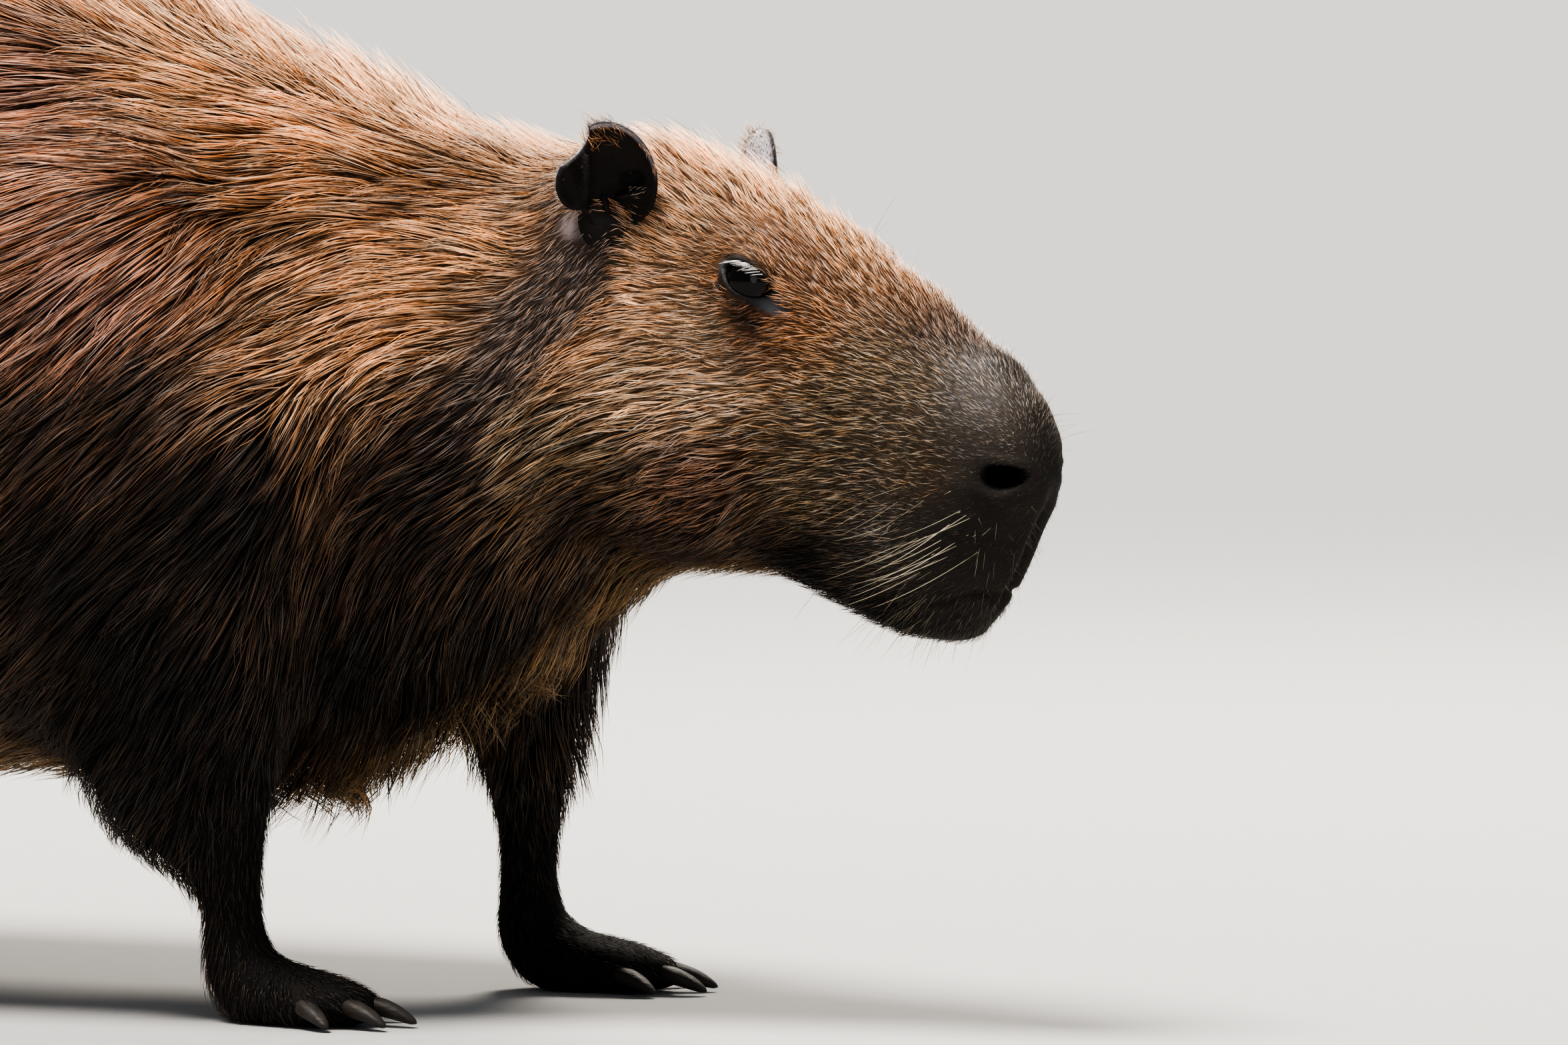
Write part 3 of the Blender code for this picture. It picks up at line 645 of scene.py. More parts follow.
NOSTRIL_HALF_LENGTH, NOSTRIL_HALF_HEIGHT = 0.0108, 0.0058
NOSTRIL_ALONG = np.array((0.777, -0.545, 0.314))
NOSTRIL_OUTWARD = np.array((0.62, 0.78, 0.10))
NOSTRIL_ARCH = 0.0016
NOSTRIL_TAPER = 0.22
NOSTRIL_DEPTH = 0.0125
NOSTRIL_RIM = 0.0007
CLEFT = [(-0.0030, 0, -0.006), (-0.0012, 0, -0.034), (-0.0022, 0, -0.062)]
CLEFT_DEPTH = 0.0030
CLEFT_EDGE = 0.0014
MOUTH = [
    (-0.0020, 0, -0.0620),
    (-0.0128, 0.0205, -0.0678),
    (-0.0262, 0.0275, -0.0780),
    (-0.0335, 0.0310, -0.0840),
]
MOUTH_DEPTH = 0.0030
# How far above the slit each crease round the eye runs, and how deep it is.
EYE_CREASES = ((-0.0135, 0.0010), (-0.0165, 0.0012), (-0.0198, 0.0008))
TEAR_CORNER = (0.0165, -0.0030)
TEAR_CORNER_DEPTH = 0.0016


def in_nostril_frame(local, side):
    """How far each point is along the nostril and above it, its way out, and the gap to its middle."""
    along = unit(NOSTRIL_ALONG * (1, side, 1))
    out = NOSTRIL_OUTWARD * (1, side, 1)
    out = unit(out - along * (out @ along))
    up = np.cross(out, along) * side
    from_middle = local - NOSTRIL_PLACE * (1, side, 1)
    return from_middle @ along, from_middle @ up, out, np.linalg.norm(from_middle, axis=1)


def nostril_ring(local, side):
    """0 in the middle of the nostril, 1 on its rim, and more outside it."""
    along, above, out, gap = in_nostril_frame(local, side)
    arched = above - NOSTRIL_ARCH * (1 - (along / NOSTRIL_HALF_LENGTH) ** 2)
    tall = NOSTRIL_HALF_HEIGHT * (1 - NOSTRIL_TAPER * along / NOSTRIL_HALF_LENGTH)
    ring = np.hypot(along / NOSTRIL_HALF_LENGTH, arched / tall)
    return np.where(gap < 0.022, ring, 9), out


def nearer_side(local, line):
    """How far each point is from a line or its mirror image, and how far along the nearer one."""
    left, right = (distance_to_line(local, np.array(line) * (1, side, 1)) for side in (1, -1))
    return np.minimum(left[0], right[0]), np.where(left[0] < right[0], left[1], right[1])


PUSHES = [
    # Places on the midline of the nose, how far each push reaches, and how high it is, in metres
    ((-0.0980, 0.0, 0.0400), 0.0180, 0.0026),
    ((-0.0460, 0.0, 0.0280), 0.0130, 0.0058),
    ((-0.0260, 0.0, 0.0290), 0.0160, 0.0080),
    ((0.0000, 0.0, -0.0120), 0.0115, 0.0040),
]
PUSH_SIDEWAYS = 0.55
MUZZLE_NARROWING = 0.31
MUZZLE_FRONT = np.array([
    # The height on the muzzle, how far its front comes forward there, and how much it is rounded off
    (-0.1080, 0.0000, 0),
    (-0.0950, -0.0014, 0),
    (-0.0850, -0.0010, 4),
    (-0.0770, 0.0018, 7),
    (-0.0700, 0.0040, 11),
    (-0.0655, 0.0046, 12),
    (-0.0610, 0.0052, 14),
    (-0.0450, 0.0044, 16),
    (-0.0370, 0.0040, 15),
    (-0.0290, 0.0040, 9),
    (-0.0210, 0.0040, 0),
    (-0.0130, 0.0028, 0),
    (-0.0050, 0.0026, 0),
    (0.0030, 0.0016, 0),
    (0.0110, 0.0000, 0),
])
narrow = smoothstep(-0.060, -0.010, local[:, 0]) * smoothstep(-0.048, -0.014, local[:, 2])
local[:, 1] *= 1 - MUZZLE_NARROWING * narrow
forward = np.interp(local[:, 2], MUZZLE_FRONT[:, 0], MUZZLE_FRONT[:, 1])
rounding = np.interp(local[:, 2], MUZZLE_FRONT[:, 0], MUZZLE_FRONT[:, 2])
in_front = smoothstep(-0.055, -0.020, local[:, 0])
local[:, 0] += (forward - rounding * local[:, 1] ** 2) * in_front
move = np.zeros_like(local)
for place, reach, high in PUSHES:
    gap = np.linalg.norm((local - np.array(place)) * (1, PUSH_SIDEWAYS, 1), axis=1)
    move += local_normals * (high * np.exp(-(gap / reach) ** 2))[:, None]
for side in (1, -1):
    ring, out = nostril_ring(local, side)
    hollow = 1 - smoothstep(0.05, 1.12, ring)
    rim = np.exp(-((ring - 1.45) / 0.32) ** 2)
    move += out * (rim * NOSTRIL_RIM - hollow * NOSTRIL_DEPTH)[:, None]
cleft_gap, cleft_along = distance_to_line(local, CLEFT)
down_lip = smoothstep(0.05, 0.45, cleft_along) * (1 - smoothstep(0.010, 0.018, cleft_gap))
cleft = np.exp(-(local[:, 1] / 0.0019) ** 2)
lip_edge = np.exp(-((np.abs(local[:, 1]) - 0.0062) / 0.0030) ** 2)
move[:, 0] += (CLEFT_EDGE * lip_edge - CLEFT_DEPTH * cleft) * down_lip
lips, lips_along = nearer_side(local, MOUTH)
slit = np.exp(-(lips / 0.0018) ** 2) * np.interp(lips_along, (0, 0.12, 1), (0.30, 1, 0.35))
chin_share = smoothstep(0.0, 0.004, -0.0600 - local[:, 2] + 0.35 * (local[:, 0] + 0.003))
under_lip = np.exp(-(lips / 0.0065) ** 2) * chin_share * (1 - lips_along)
move -= local_normals * (MOUTH_DEPTH * slit + 0.0004 * under_lip)[:, None]
for side in (1, -1):
    across, above, outward, from_middle = in_eye_frame(local, side)
    near = (np.linalg.norm(from_middle, axis=1) < 0.034) & (outward > -0.012)
    for drop, deep in EYE_CREASES:
        crease_line = drop + 11 * across ** 2
        crease = np.exp(-((above - crease_line) / 0.0010) ** 2) * np.exp(-(across / 0.013) ** 2)
        move -= local_normals * (deep * crease * near)[:, None]
    corner = np.hypot(across - TEAR_CORNER[0], above - TEAR_CORNER[1])
    move -= local_normals * (TEAR_CORNER_DEPTH * np.exp(-(corner / 0.0042) ** 2) * near)[:, None]
put_points(skin, from_head(local + move))

# The faces over each eye are opened, their edge is set on the slit, and the lid is turned in behind it.
LID_REACH = 0.024
LID_EDGE = 0.0009
LID_INSIDE = -0.0012
middles = to_head(face_middles(skin))
opened = np.zeros(len(middles), bool)
for side in (1, -1):
    across, above, outward, from_middle = in_eye_frame(middles, side)
    upper, lower = slit_edge(across)
    inside = (np.abs(across) < EYE_HALF_WIDTH) & (above < upper) & (above > lower)
    opened |= inside & (outward > 0) & (outward < 0.020)
choose_faces(skin, opened)
bpy.ops.mesh.delete(type="FACE")
bpy.ops.mesh.select_mode(type="EDGE")
bpy.ops.mesh.select_non_manifold()


def chosen_points(obj):
    bpy.ops.object.mode_set(mode="OBJECT")
    return column(obj.data.vertices, "select", kind=bool)


rim = chosen_points(skin)
local = to_head(points_of(skin))
for side in (1, -1):
    along, up, out = eye_axes(side)
    across, above, outward, from_middle = in_eye_frame(local, side)
    here = rim & (np.linalg.norm(from_middle, axis=1) < LID_REACH)
    upper, lower = slit_edge(np.clip(across, -EYE_HALF_WIDTH * 0.995, EYE_HALF_WIDTH * 0.995))
    edge = np.where(above > (upper + lower) / 2, upper, lower)
    across = np.clip(across, -EYE_HALF_WIDTH, EYE_HALF_WIDTH)
    proud = np.sqrt(np.maximum((EYE_RADIUS + LID_EDGE) ** 2 - across ** 2 - edge ** 2, 0.0004 ** 2))
    snapped = np.outer(across, along) + np.outer(edge, up) + np.outer(proud, out)
    snapped += np.array(EYE_PLACE) * (1, side, 1)
    local[here] = snapped[here]
put_points(skin, from_head(local))
bpy.ops.object.mode_set(mode="EDIT")
bpy.ops.mesh.extrude_edges_move()
rim = chosen_points(skin)
local = to_head(points_of(skin))
for side in (1, -1):
    across, above, outward, from_middle = in_eye_frame(local, side)
    here = rim & (np.linalg.norm(from_middle, axis=1) < LID_REACH)
    inner = local - from_middle + unit(from_middle) * (EYE_RADIUS + LID_INSIDE)
    local[here] = inner[here]
put_points(skin, from_head(local))
smooth(skin)


# Bare skin: the nose, lips and lids are dark and nearly hairless, and so is a patch below each ear. The
# hair keeps clear of it, and each ear's shadow is painted down the neck as a streak of dark, short hair.
EAR_FOOT = [(-0.2280, 0.0610, 0.0260), (-0.2350, 0.0650, 0.0190), (-0.2440, 0.0660, 0.0165)]
# The line along which each ear's painted shadow runs down the neck.
EAR_SHADOW_LINE = [
    (-0.231, 0.067, 0.012),
    (-0.237, 0.078, -0.022),
    (-0.241, 0.085, -0.048),
    (-0.243, 0.093, -0.080),
]
LID_FRONT, LID_REAR, LID_OVER, LID_UNDER = 0.0240, 0.0155, 0.0090, 0.0088
UNDER_EYE_MIDDLE, UNDER_EYE_HALF, UNDER_EYE_SLOPE = (0.004, -0.0108), (0.019, 0.0050), 0.10
NOSE_BLACK = (0.010, 0.008, 0.0075)
EAR_FOOT_BLACK = (0.013, 0.011, 0.010)
EAR_FOOT_LILAC = (0.23, 0.185, 0.180)
# A bluish painted reflection on the lids by the corners of the eyes.
LID_SKY_GLINT = (0.075, 0.078, 0.090)
LID_GLINT_PLACES = [
    # On the slit and above it, how far each bluish patch of painted reflection reaches, and how strong it
    # is
    ((0.0165, -0.0060), 0.0060, 1.0),
    ((-0.0150, -0.0010), 0.0035, 0.7),
]


def lid_ring(local, side):
    """1 on the edge of the eye's opening, growing outward, and stretched to the front corner."""
    across, above, outward, from_middle = in_eye_frame(local, side)
    front = np.clip(across / 0.0285, 0, 1)
    drop = 0.0035 * front
    half = np.where(across > 0, LID_FRONT, LID_REAR)
    tall = np.where(above > 0, LID_OVER, LID_UNDER) * (1 - 0.45 * front)
    ring = np.hypot(across / half, (above + drop) / tall)
    return np.where(np.linalg.norm(from_middle, axis=1) < 0.035, ring, 9)


def bareness(points):
    """1 on bare skin and 0 where hair grows."""
    local = to_head(points)
    bare = np.zeros(len(points))
    for side in (1, -1):
        bare = np.maximum(bare, 1 - smoothstep(0.92, 1.15, lid_ring(local, side)))
        bare = np.maximum(bare, 1 - smoothstep(0.95, 1.25, nostril_ring(local, side)[0]))
    bare = np.maximum(bare, 1 - smoothstep(0.0022, 0.0045, distance_to_line(local, CLEFT)[0]))
    bare = np.maximum(bare, 1 - smoothstep(0.0008, 0.0022, nearer_side(local, MOUTH)[0]))
    return np.maximum(bare, 0.92 * (1 - smoothstep(0.0040, 0.0085, nearer_side(local, EAR_FOOT)[0])))


def painted_ear_shadow(points):
    """1 in each ear's painted shadow: a streak of dark, short hair down the neck from below the ear."""
    gap, along = nearer_side(to_head(points), EAR_SHADOW_LINE)
    return (1 - smoothstep(0.009, 0.024 - 0.007 * along, gap)) * (0.92 - 0.35 * along)


def under_eye_darkening(points):
    """1 in the patchy darker places under each eye."""
    local = to_head(points)
    share = np.zeros(len(points))
    for side in (1, -1):
        across, above, outward, from_middle = in_eye_frame(local, side)
        high = above - UNDER_EYE_MIDDLE[1] + UNDER_EYE_SLOPE * across
        spread = np.hypot((across - UNDER_EYE_MIDDLE[0]) / UNDER_EYE_HALF[0], high / UNDER_EYE_HALF[1])
        near = np.linalg.norm(from_middle, axis=1) < 0.036
        share = np.maximum(share, (1 - smoothstep(0.75, 1.25, spread)) * near)
    return share * smoothstep(-0.25, 0.25, waves(points, 0.0016, 3))


def marked_and_shaded_colour(points, colours):
    """The guides' colours at these points, darker in patches under the eyes and in each ear's painted
    shadow.
    """
    colours = colours * (1 - 0.75 * under_eye_darkening(points))[:, None]
    ear_shadow = painted_ear_shadow(points)[:, None]
    return colours * (1 - ear_shadow) + np.array(EAR_SHADOW_SMOKE) * ear_shadow


def bare_colour(points):
    """Near-black on nose, lips and lids, painted bluish glints by the eyes, painted shade in the
    nostrils, lilac by the ears.
    """
    local = to_head(points)
    colours = np.tile(NOSE_BLACK, (len(points), 1))
    gap, along = nearer_side(local, EAR_FOOT)
    share = (1 - smoothstep(0.010, 0.016, gap))[:, None]
    by_ear = np.outer(1 - along ** 3, EAR_FOOT_BLACK) + np.outer(along ** 3, EAR_FOOT_LILAC)
    colours = colours * (1 - share) + by_ear * share
    for side in (1, -1):
        across, above, outward, from_middle = in_eye_frame(local, side)
        for place, reach, glint in LID_GLINT_PLACES:
            gap = np.hypot(across - place[0], above - place[1])
            share = glint * np.exp(-(gap / reach) ** 2) * (np.linalg.norm(from_middle, axis=1) < 0.030)
            colours = colours * (1 - share[:, None]) + np.outer(share, LID_SKY_GLINT)
        # Deep in each nostril the skin is darkened as painted shade.
        ring = nostril_ring(local, side)[0]
        colours = colours * smoothstep(0.60, 1.20, ring)[:, None]
    return colours


# Under the hair the skin has the coat's colour, much darker.
UNDERCOAT = 0.13
surface = points_of(skin)
skin_values = coat_at(surface)[1]
bare = bareness(surface)
tone = marked_and_shaded_colour(surface, skin_values[:, COLOUR]) * UNDERCOAT
tone = tone * (1 - bare[:, None]) + bare_colour(surface) * bare[:, None]


def add_attribute(obj, name, kind, values):
    """Gives each of a mesh's points a number or a colour, for its material to read."""
    made = obj.data.attributes.new(name, kind, "POINT")
    key = "color" if kind == "FLOAT_COLOR" else "value"
    made.data.foreach_set(key, np.asarray(values, np.float32).ravel())


def opaque(colours):
    return np.concatenate([colours, np.ones((*colours.shape[:-1], 1))], axis=-1)


add_attribute(skin, "coat_colour", "FLOAT_COLOR", opaque(tone))
add_attribute(skin, "bare", "FLOAT", bare)
hide = Finish("hide", Specular_IOR_Level=0.25)
bald = hide.attribute("bare", "Fac")
grain = hide.noise(700.0, 4.0, hide.drawn_out(0.35))
pores = hide.node("ShaderNodeTexVoronoi", {}, {"Vector": hide.place(), "Scale": 900.0})
hide.feed(hide.shader, {
    "Base Color": hide.mottled(hide.attribute("coat_colour"), hide.noise(90.0) * 0.5 + 0.25),
    "Roughness": 0.78 - bald * 0.20,
    "Normal": hide.bump(grain * (1 - bald * 0.6) + pores * 0.25 * bald, 0.6, 0.0009),
})
hide.cover(skin)

BAKE_MAP = "OFBake"
skin.data.uv_layers.new(name=BAKE_MAP)
only(skin)
bpy.ops.object.mode_set(mode="EDIT")
bpy.ops.mesh.select_all(action="SELECT")
bpy.ops.uv.smart_project(angle_limit=math.radians(70), island_margin=0.002)
bpy.ops.object.mode_set(mode="OBJECT")

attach(skin, "root")
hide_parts(*flesh_nodes)


# The eyes. Each is a glossy near-black ball, mottled with dark brown and bulging a little at its front,
# set in the lids.
EYE_TONES = (0.0015, 0.0012, 0.0012, 1), (0.0050, 0.0032, 0.0024, 1)
EYE_BULGE = 0.0006
eye_finish = Finish("wet_eye", Roughness=0.03, Specular_IOR_Level=0.26)
eye_finish.feed(eye_finish.shader, {"Base Color": eye_finish.mixed(eye_finish.noise(260.0), *EYE_TONES)})
for side, name in ((1, "left"), (-1, "right")):
    bpy.ops.mesh.primitive_uv_sphere_add(segments=64, ring_count=40, radius=EYE_RADIUS)
    ball = bpy.context.object
    ball.name = f"eyeball_{name}"
    along, up, out = (head_axes @ axis for axis in eye_axes(side))
    turn = Matrix(np.array((-along * side, up, out)).T.tolist()).to_4x4()
    centre = from_head(np.array(EYE_PLACE) * (1, side, 1))
    round_ball = points_of(ball)
    bulge = smoothstep(0.0085, 0.0125, round_ball[:, 2]) * EYE_BULGE
    put_points(ball, round_ball + np.outer(bulge, (0, 0, 1)))
    ball.data.transform(Matrix.Translation(centre) @ turn)
    smooth(ball)
    eye_finish.cover(ball)
    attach(ball, "root")
    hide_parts(f"eye_{name}")


# The coat. Single coarse hairs, each a closed three-sided blade that leaves the skin steeply and then
# lies back along it, by the guides. Hair on the muzzle is a straight stub, and on the body bends twice.
PATCH = 0.003
ROOT_SINK = 0.0008
SOLE_EDGE = 0.006
rng = np.random.default_rng(11)
surface, normals = points_of(skin), normals_of(skin)
skin.data.calc_loop_triangles()
triangles = skin.data.loop_triangles
corners = column(triangles, "vertices", 3, np.int32)
corner_loops = column(triangles, "loops", 3, np.int32)
unwrap = column(skin.data.uv_layers[BAKE_MAP].data, "uv", 2)
skin_tree = BVHTree.FromPolygons(surface.tolist(), corners.tolist(), all_triangles=True)

spacing = skin_values[corners, SPACING].mean(1) / 1000
hairiness = (1 - bare[corners].mean(1)) * (surface[corners, 2].mean(1) > SOLE_EDGE)
expected = np.cumsum(column(triangles, "area") * hairiness / spacing ** 2)
root_count = int(expected[-1])
marks = (np.arange(root_count) + rng.random(root_count)) * expected[-1] / root_count
picks = np.minimum(np.searchsorted(expected, marks), len(corners) - 1)
first, second = rng.random(root_count), rng.random(root_count)
flip = first + second > 1
first, second = np.where(flip, 1 - first, first), np.where(flip, 1 - second, second)
shares = np.stack([1 - first - second, first, second], axis=1)[:, :, None]
roots = (surface[corners[picks]] * shares).sum(1)
root_normals = unit((normals[corners[picks]] * shares).sum(1))
root_patches = (unwrap[corner_loops[picks]] * shares).sum(1)
root_ways, root_values = coat_at(roots)
root_lengths, root_lifts, root_spacing, root_red = root_values.T[:4]
root_local = to_head(roots)


def skin_below(points):
    """The skin's nearest place to each point, and its normal there."""
    places, outs = np.empty_like(points), np.empty_like(points)
    for number, point in enumerate(points):
        place, out, _, _ = skin_tree.find_nearest(point)
        places[number], outs[number] = place, out
    return places, outs


LEAST_HEIGHT = 0.0004
ROOT_LIFT, LIFT_LOST = 1.55, 1.1


def hair_paths(roots, outs, ways, length, lift, turn, bends):
    """The middle line of each hair, as bends + 1 places, and the skin's normals along it. A hair of
    several bends leaves the skin more steeply than its lift, and then flattens."""
    at, normal = roots - outs * ROOT_SINK, outs
    places, uprights = [at], [normal]
    for step in range(bends):
        if step:
            below, normal = skin_below(at)
            high = ((at - below) * normal).sum(1)
            at = at + normal * np.maximum(LEAST_HEIGHT - high, 0)[:, None]
            places[-1] = at
            ways = coat_at(at)[0]
        along = unit(ways - normal * (ways * normal).sum(1)[:, None])
        aside = np.cross(normal, along)
        along = along * np.cos(turn)[:, None] + aside * np.sin(turn)[:, None]
        angle = lift * (ROOT_LIFT - LIFT_LOST * (step + 0.5) / bends) if bends > 1 else lift
        heading = along * np.cos(angle)[:, None] + normal * np.sin(angle)[:, None]
        at = at + heading * (length / bends)[:, None]
        places.append(at)
        uprights.append(normal)
    return np.stack(places, 1), np.stack(uprights, 1)


# A blade's width at each ring, as a share of its widest, and its shade at each ring and at its tip.
RING_WIDTHS = {
    1: (1.0,),
    2: (0.85, 1.0),
    3: (0.75, 1.0, 0.80),
    7: (1.0, 0.95, 0.86, 0.76, 0.62, 0.48, 0.30),
}
RING_TONES = {
    1: (0.25, 1.25),
    2: (0.20, 0.85, 1.25),
    3: (0.16, 0.62, 1.05, 1.30),
    7: (1,) * 8,
}
BLADE_RIDGE = 0.9


def blades(name, paths, uprights, width, colours, glint_share, patches):
    """One piece of coat: a closed blade along each path, coloured, and with its patch of the bake map."""
    count, rings = len(paths), paths.shape[1] - 1
    heading = unit(np.diff(paths, axis=1))
    aside = unit(np.cross(heading, uprights[:, :rings]))
    rise = np.cross(aside, heading)
    half = (width[:, None] * np.array(RING_WIDTHS[rings]) / 2)[..., None]
    ring = np.stack([-aside * half, rise * half * BLADE_RIDGE, aside * half], axis=2)
    ring = ring + paths[:, :rings, None]
    points = np.concatenate([ring.reshape(count, -1, 3), paths[:, -1:]], axis=1)
    per_hair = 3 * rings + 1
    faces, spots = [], []
    for level in range(rings):
        low, high = 3 * level, 3 * level + 3
        for corner in range(3):
            after = (corner + 1) % 3
            left, right = corner / 3, (corner + 1) / 3
            bottom, top = level / rings, (level + 1) / rings
            if level == rings - 1:
                faces.append((low + corner, low + after, per_hair - 1))
                spots.append(((left, bottom), (right, bottom), ((left + right) / 2, 1)))
            else:
                faces.append((low + corner, low + after, high + after))
                spots.append(((left, bottom), (right, bottom), (right, top)))
                faces.append((low + corner, high + after, high + corner))
                spots.append(((left, bottom), (right, top), (left, top)))
    faces.append((0, 2, 1))
    spots.append(((0, 0), (1, 0), (0.5, 0.25)))
    faces, spots = np.array(faces), np.array(spots)
    corner_list = (np.arange(count)[:, None, None] * per_hair + faces).reshape(-1)
    mesh = bpy.data.meshes.new(name)
    mesh.vertices.add(count * per_hair)
    mesh.vertices.foreach_set("co", points.astype(np.float32).ravel())
    mesh.loops.add(len(corner_list))
    mesh.loops.foreach_set("vertex_index", corner_list.astype(np.int32))
    mesh.polygons.add(count * len(faces))
    mesh.polygons.foreach_set("loop_start", np.arange(0, len(corner_list), 3, dtype=np.int32))
    mesh.update(calc_edges=True)
    layer = mesh.uv_layers.new(name=BAKE_MAP)
    spread = (patches[:, None, None] + (spots - 0.5) * PATCH).astype(np.float32)
    layer.data.foreach_set("uv", spread.ravel())
    piece = bpy.data.objects.new(name, mesh)
    bpy.context.scene.collection.objects.link(piece)
    tones = colours[:, None] * np.array(RING_TONES[rings])[:, None]
    # Some tips are painted toward a near-white glint.
    tones[:, -1] += (np.array(TIP_GLINT) - tones[:, -1]) * glint_share[:, None]
    tones = np.concatenate([np.repeat(tones[:, :-1], 3, axis=1), tones[:, -1:]], axis=1)
    add_attribute(piece, "coat_colour", "FLOAT_COLOR", opaque(tones))
    coat_finish.cover(piece)
    smooth(piece)
    return piece


coat_finish = Finish("coat_hair", Roughness=0.42)
coat_finish.feed(coat_finish.shader, {"Base Color": coat_finish.attribute("coat_colour")})

# How hairs differ from what the guides say: shares of length, lift and width, and degrees of turn.
length = root_lengths / 1000 * rng.uniform(0.70, 1.25, root_count)
lift = np.radians(root_lifts * rng.uniform(0.6, 1.5, root_count))
tousle = np.clip(13 - root_lengths * 0.17, 5, 13)
turn = np.radians(rng.normal(0, 1, root_count) * tousle + 8 * waves(roots, 0.020, 5))
width = (0.215 + 0.0100 * root_lengths) / 1000 * np.clip(root_spacing / 3, 1, 1.35)
width = width * rng.uniform(0.75, 1.2, root_count)
# Hair is shorter in each ear's painted shadow.
length = length * (1 - 0.25 * painted_ear_shadow(roots))
bends_wanted = np.where(length < 0.0065, 1, np.where((length < 0.024) | (roots[:, 0] < 0.06), 2, 3))

# Neighbouring hairs gather into locks: each hair leans to the leading hair of its lock, more at its
# tip, and a lock has a shade of its own.
lock_size = np.clip(0.0016 + 0.00014 * root_lengths, 0.0024, 0.0085)
leads = np.flatnonzero(rng.random(root_count) < (root_spacing / 1000 / lock_size) ** 2)
lead_tree = KDTree(len(leads))
for number, place in enumerate(roots[leads]):
    lead_tree.insert(place, number)
lead_tree.balance()
lock = np.array([lead_tree.find(place)[1] for place in roots])
lock_shade = rng.uniform(0.62, 1.35, len(leads))[lock]
lock_pull = rng.uniform(0.35, 0.85, len(leads))[lock] * smoothstep(6, 16, root_lengths)

# Dark hairs stand among the pale ones, most of them on the side of the muzzle and fewest on the crest,
# which is kept bright as painted sunlight. The palest hairs have painted glints at their tips.
colours = marked_and_shaded_colour(roots, root_values[:, COLOUR])
on_muzzle_side = smoothstep(-0.135, -0.085, root_local[:, 0])
on_muzzle_side *= 1 - smoothstep(-0.010, 0.018, root_local[:, 2])
dark_share = 0.28 + 0.30 * on_muzzle_side - 0.14 * smoothstep(0.62, 0.95, root_red)
shade = np.where(
    rng.random(root_count) < dark_share,
    rng.uniform(0.12, 0.4, root_count),
    rng.uniform(0.75, 1.45, root_count),
)
colours = colours * (shade * lock_shade * (1 + 0.25 * waves(roots, 0.03, 8)))[:, None]
warmth = np.clip(rng.normal(0, 0.13, root_count), -0.30, 0.30)
colours = colours * np.stack([1 + warmth, np.ones(root_count), 1 - 1.2 * warmth], axis=1)
glint_share = np.where(shade > 1.12, rng.uniform(0.2, 1.0, root_count), 0) * smoothstep(0.10, 0.50, root_red)

# The coat is cut in pieces by the places of its roots, and each root goes to the first that holds it.
REGIONS = {
    "muzzle": root_local[:, 0] > -0.105,
    "face": (root_local[:, 0] > -0.265) & (root_local[:, 2] > -0.16),
    "legs": roots[:, 2] < 0.115,
    "neck": roots[:, 0] > 0.215,
    "shoulders": roots[:, 0] > 0.06,
    "barrel": roots[:, 0] > -0.27,
    "rump": np.ones(root_count, bool),
}
LEAD_BENDS = 3
FLOOR_GAP = 0.0008


def grown(chosen, bends):
    given = (each[chosen] for each in (roots, root_normals, root_ways, length, lift, turn))
    return hair_paths(*given, bends)


lead_paths = grown(leads, LEAD_BENDS)[0]


def gathered(paths, chosen, bends):
    """The paths of these hairs, leaning to the leading hair of each one's lock, and above the floor."""
    led = lead_paths[lock[chosen]]
    for step in range(1, bends + 1):
        at = step / bends * LEAD_BENDS
        before = min(int(at), LEAD_BENDS - 1)
        goal = led[:, before] + (led[:, before + 1] - led[:, before]) * (at - before)
        goal = goal + (paths[:, 0] - led[:, 0]) * (0.85 - 0.6 * step / bends)
        share = lock_pull[chosen] * (step / bends)
        paths[:, step] += (goal - paths[:, step]) * share[:, None]
    paths[:, :, 2] = np.maximum(paths[:, :, 2], FLOOR_GAP)
    return paths


taken = np.zeros(root_count, bool)
for region, inside in REGIONS.items():
    inside = inside & ~taken
    taken |= inside
    sides = {"": inside}
    if region not in ("muzzle", "legs"):
        sides = {"_left": inside & (roots[:, 1] > 0), "_right": inside & (roots[:, 1] <= 0)}
    for suffix, chosen in sides.items():
        parts = []
        for bends in (1, 2, 3):
            some = chosen & (bends_wanted == bends)
            if not some.any():
                continue
            paths, uprights = grown(some, bends)
            looks = [each[some] for each in (width, colours, glint_share, root_patches)]
            parts.append(blades("tuft", gathered(paths, some, bends), uprights, *looks))
        tuft = joined(parts, f"coat_{region}{suffix}")
        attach(tuft, "root")


# The ears. Each is a thin cup of cartilage under bare dark skin, with a small lobe behind it, pockets
# and folds inside it and a painted highlight along the top and front of its rim. It is modelled upright,
# and then set on its stalk.
EAR_VOXEL = 0.0009
EAR_BACK = (0.440, 0.410, 0.455)
EAR_INSIDE = (0.013, 0.010, 0.009)
EAR_RIM_HIGHLIGHT = (0.250, 0.225, 0.245)
EAR_PLACES = {"left": (-0.2305, 0.0610, 0.0318), "right": (-0.2350, -0.0625, 0.0360)}
EAR_TURNS = {
    "left": ((-36, "Y"), (-42, "Z"), (-14, "X"), (-9, "Y")),
    "right": ((-22, "Y"), (-42, "Z"), (-14, "X"), (-9, "Y")),
}
